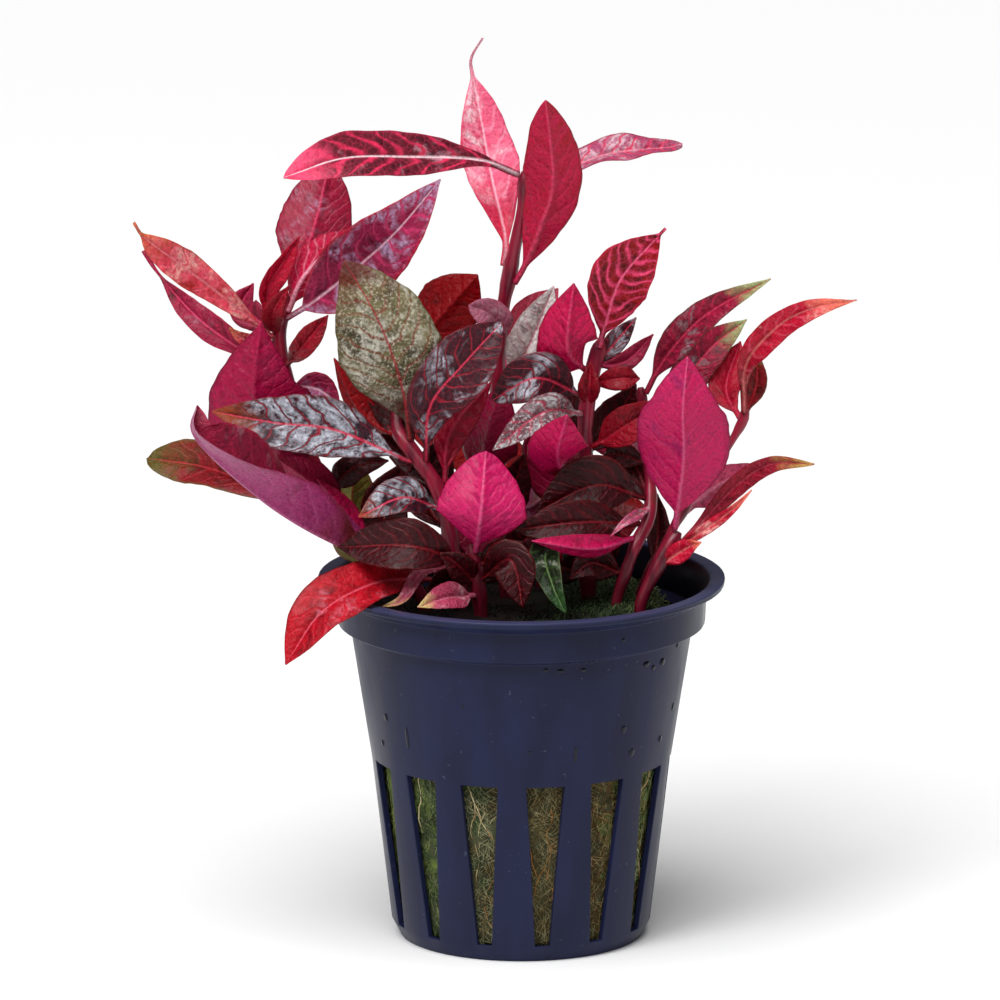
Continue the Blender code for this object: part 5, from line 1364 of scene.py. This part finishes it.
class PLANT_OT_wool(bpy.types.Operator):
    """Build the rock wool plug with its fibres, roots and moss"""

    bl_idname = "plant.wool"
    bl_label = "Rock wool"

    def execute(self, context):
        sizes = context.scene.plant_wool
        bed = fibre_material("wet_rock_wool", BED_TONES, 0.9, top_stops=TOP_TONES)
        plug = wool_surface(rows_up=70, sides=168)
        pieces = [add_piece("wool_plug", *loft(plug), [bed], SLOTS["rock_wool"])]
        thread = fibre_material("mineral_fibre", THREAD_TONES, 0.7, 420.0)
        dark_thread = fibre_material("stained_mineral_fibre", BED_TONES, 0.8, 420.0)
        root = fibre_material("wet_root", ROOT_TONES, 0.5, 300.0)
        moss = fibre_material("moss_shoots", MOSS_TONES, 0.6, 500.0)
        # Fibres and roots grow from the band of the side behind the slots, moss from the top.
        rings = wool_surface(rows_up=40, sides=96)
        side, top = rings[8:17], rings[38:]
        tree = fibre_tree()
        radius = sizes.fibre_radius
        (low, foot), (high, head) = SLOT_BOTTOM_RING[2:], SLOT_TOP_RING[2:]
        slope = (high - low) / (head - foot)
        at_wall = (low - slope * foot) * MM
        for name, band, surface, density, start, end, turn, steps, stray, thick, held in (
                ("wool_fibres", side, thread, sizes.fibre_density, (-1.6, 0, 0), (1.6, 0, 0),
                 (0, 0.1, 1.3), 5, 0.0016, radius, True),
                ("wool_threads", side, dark_thread, sizes.fibre_density / 4, (-3.2, 0, 0),
                 (3.2, 0, 0), (0, 0.1, 1.3), 7, 0.0022, radius * 1.6, True),
                ("roots", side, root, sizes.root_density, (-5, 0, 0.1), (5, 0, 0.1),
                 (0, 0, 0.5), 14, 0.0026, radius * 2.2, True),
                ("moss", top, moss, sizes.moss_density, (0, 0, -0.2), (0, 0, 0.9),
                 (0.9, 0.9, 0), 3, 0.0006, radius * 2.4, False)):
            patch = add_piece("band", [point for ring in band for point in ring],
                              loft(band)[1][1:-1], [], None)
            pieces.append(grow(name, patch, tree, {
                "Density": density, "Start": Vector(start) * MM, "End": Vector(end) * MM,
                "Turn Least": -Vector(turn), "Turn Most": Vector(turn), "Least Scale": 0.5,
                "Most Scale": 1.2, "Steps": steps, "Stray": stray, "Stray Scale": 220.0,
                "Thickness": thick, "Seed": sizes.seed,
                "Bare Until": -1.0 if held else MOSS_START * MM,
                "Full From": -0.9 if held else MOSS_FULL * MM,
                "Inner": at_wall - FIBRE_BAND * MM if held else 0.0,
                "Outer": at_wall - 2.0 * radius if held else 1.0,
                "Slope": slope if held else 0.0, "Surface": surface}))
        for piece in pieces:
            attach(piece, "root")
            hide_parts("rock_wool")
        return {"FINISHED"}


class PLANT_OT_stems(bpy.types.Operator):
    """Grow the stems along their paths"""

    bl_idname = "plant.stems"
    bl_label = "Stems"

    def execute(self, context):
        sizes = context.scene.plant_growth
        surface = stem_skin(sizes)
        tree = stem_tree()
        for stem in STEMS:
            path = stem_path(stem)
            length = path.lengths[-1]
            joints = [path.share_at_height(leaf.height) for leaf in LEAVES
                      if leaf.stem == stem.name]
            count = round(length / STEM_STEP)
            points, widths = [], []
            for step in range(count + 1):
                share = step / count
                swell = sum(math.exp(-((share - joint) * length / NODE_LENGTH) ** 2)
                            for joint in joints)
                points.append(path.place(share))
                radius = stem_radius(stem, share) + NODE_SWELL * min(swell, 1.0)
                ending = eased(share * length, length - STEM_END_LENGTH, length)
                rounded = 1.0 - STEM_END_NARROWING * ending
                widths.append((radius * rounded, 0.0, 0.0))
            line = add_piece("path_of_" + stem.name, points, [], [], None,
                             attributes={"width": widths})
            line.data.edges.add(count)
            for index, edge in enumerate(line.data.edges):
                edge.vertices = (index, index + 1)
            piece = grow(stem.name.replace("stem", "stalk"), line, tree,
                         {"Sides": sizes.stem_sides, "Surface": surface})
            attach(piece, "root")
            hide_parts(stem.name)
        return {"FINISHED"}


class PLANT_OT_leaves(bpy.types.Operator):
    """Grow every leaf, and each stem's leaflets as one piece"""

    bl_idname = "plant.leaves"
    bl_label = "Leaves"

    def execute(self, context):
        sizes = context.scene.plant_growth
        skins = {name: leaf_skin("leaf_" + name, look) for name, look in SKINS.items()}
        stems = {stem.name: stem for stem in STEMS}
        paths = {stem.name: stem_path(stem) for stem in STEMS}
        bunches = {}
        for leaf in LEAVES:
            midrib = leaf_path(leaf, stems[leaf.stem], paths[leaf.stem])
            stations = sizes.leaf_stations // 2 if leaf.fused else sizes.leaf_stations
            columns = LEAFLET_COLUMNS if leaf.fused else BLADE_COLUMNS
            made = leaf_mesh(leaf, midrib, stations, columns, sizes)
            under = 90.0 < leaf.turn < 270.0
            pair = (HIDDEN_UPPER, leaf.look) if under else (leaf.look, HIDDEN_UNDER)
            bunch = leaf.stem.replace("stem", "leaflets") if leaf.fused \
                else leaf.name.replace("leaf", "blade")
            bunches.setdefault(bunch, []).append((leaf, pair, made))
        for name, leaves in bunches.items():
            self.add_bunch(name, leaves, skins)
        return {"FINISHED"}

    def add_bunch(self, name, leaves, skins):
        """One piece from the meshes of one or several leaves."""
        points, faces, indices, blade, flat, looks = [], [], [], [], [], []
        for leaf, pair, (more, quads, sides, marks, places) in leaves:
            for look in pair:
                if look not in looks:
                    looks.append(look)
            faces += [tuple(len(points) + corner for corner in quad) for quad in quads]
            indices += [looks.index(pair[side]) for side in sides]
            points += more
            blade += marks
            flat += places
        first = leaves[0][0]
        node = first.stem if first.fused else first.name
        slot = "leaf_upper" if first.fused else SLOTS[node]
        piece = add_piece(name, points, faces, [skins[look] for look in looks], slot, indices,
                          {"blade": blade, "flat": flat})
        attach(piece, "root")
        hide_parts(node)


class PLANT_PT_panel(bpy.types.Panel):
    """The plant's settings and the buttons that build its pieces"""

    bl_idname = "PLANT_PT_panel"
    bl_label = "Potted Alternanthera"
    bl_space_type = "VIEW_3D"
    bl_region_type = "UI"
    bl_category = "Plant"

    def draw(self, context):
        layout = self.layout
        for group, operators in PANEL_ROWS:
            settings = getattr(context.scene, group)
            for name in settings.__annotations__:
                layout.prop(settings, name)
            for operator in operators:
                layout.operator(operator.bl_idname)
            layout.separator()


PANEL_ROWS = (
    ("plant_stage", (PLANT_OT_stage,)),
    ("plant_pot", (PLANT_OT_pot, PLANT_OT_drops)),
    ("plant_wool", (PLANT_OT_wool,)),
    ("plant_growth", (PLANT_OT_stems, PLANT_OT_leaves)),
)
GROUPS = {"plant_stage": StageSettings, "plant_pot": PotSettings, "plant_wool": WoolSettings,
          "plant_growth": PlantSettings}
OPERATORS = tuple(operator for _, operators in PANEL_ROWS for operator in operators)


def register():
    """Register the settings, the operators and the panel."""
    for kind in (*GROUPS.values(), *OPERATORS, PLANT_PT_panel):
        bpy.utils.register_class(kind)
    for name, kind in GROUPS.items():
        setattr(bpy.types.Scene, name, PointerProperty(type=kind))


def unregister():
    """Remove what register added."""
    for name in GROUPS:
        delattr(bpy.types.Scene, name)
    for kind in reversed((*GROUPS.values(), *OPERATORS, PLANT_PT_panel)):
        bpy.utils.unregister_class(kind)


def main():
    """Build everything in order."""
    register()
    for operator in OPERATORS:
        area, name = operator.bl_idname.split(".")
        getattr(getattr(bpy.ops, area), name)()


if __name__ == "__main__":
    main()
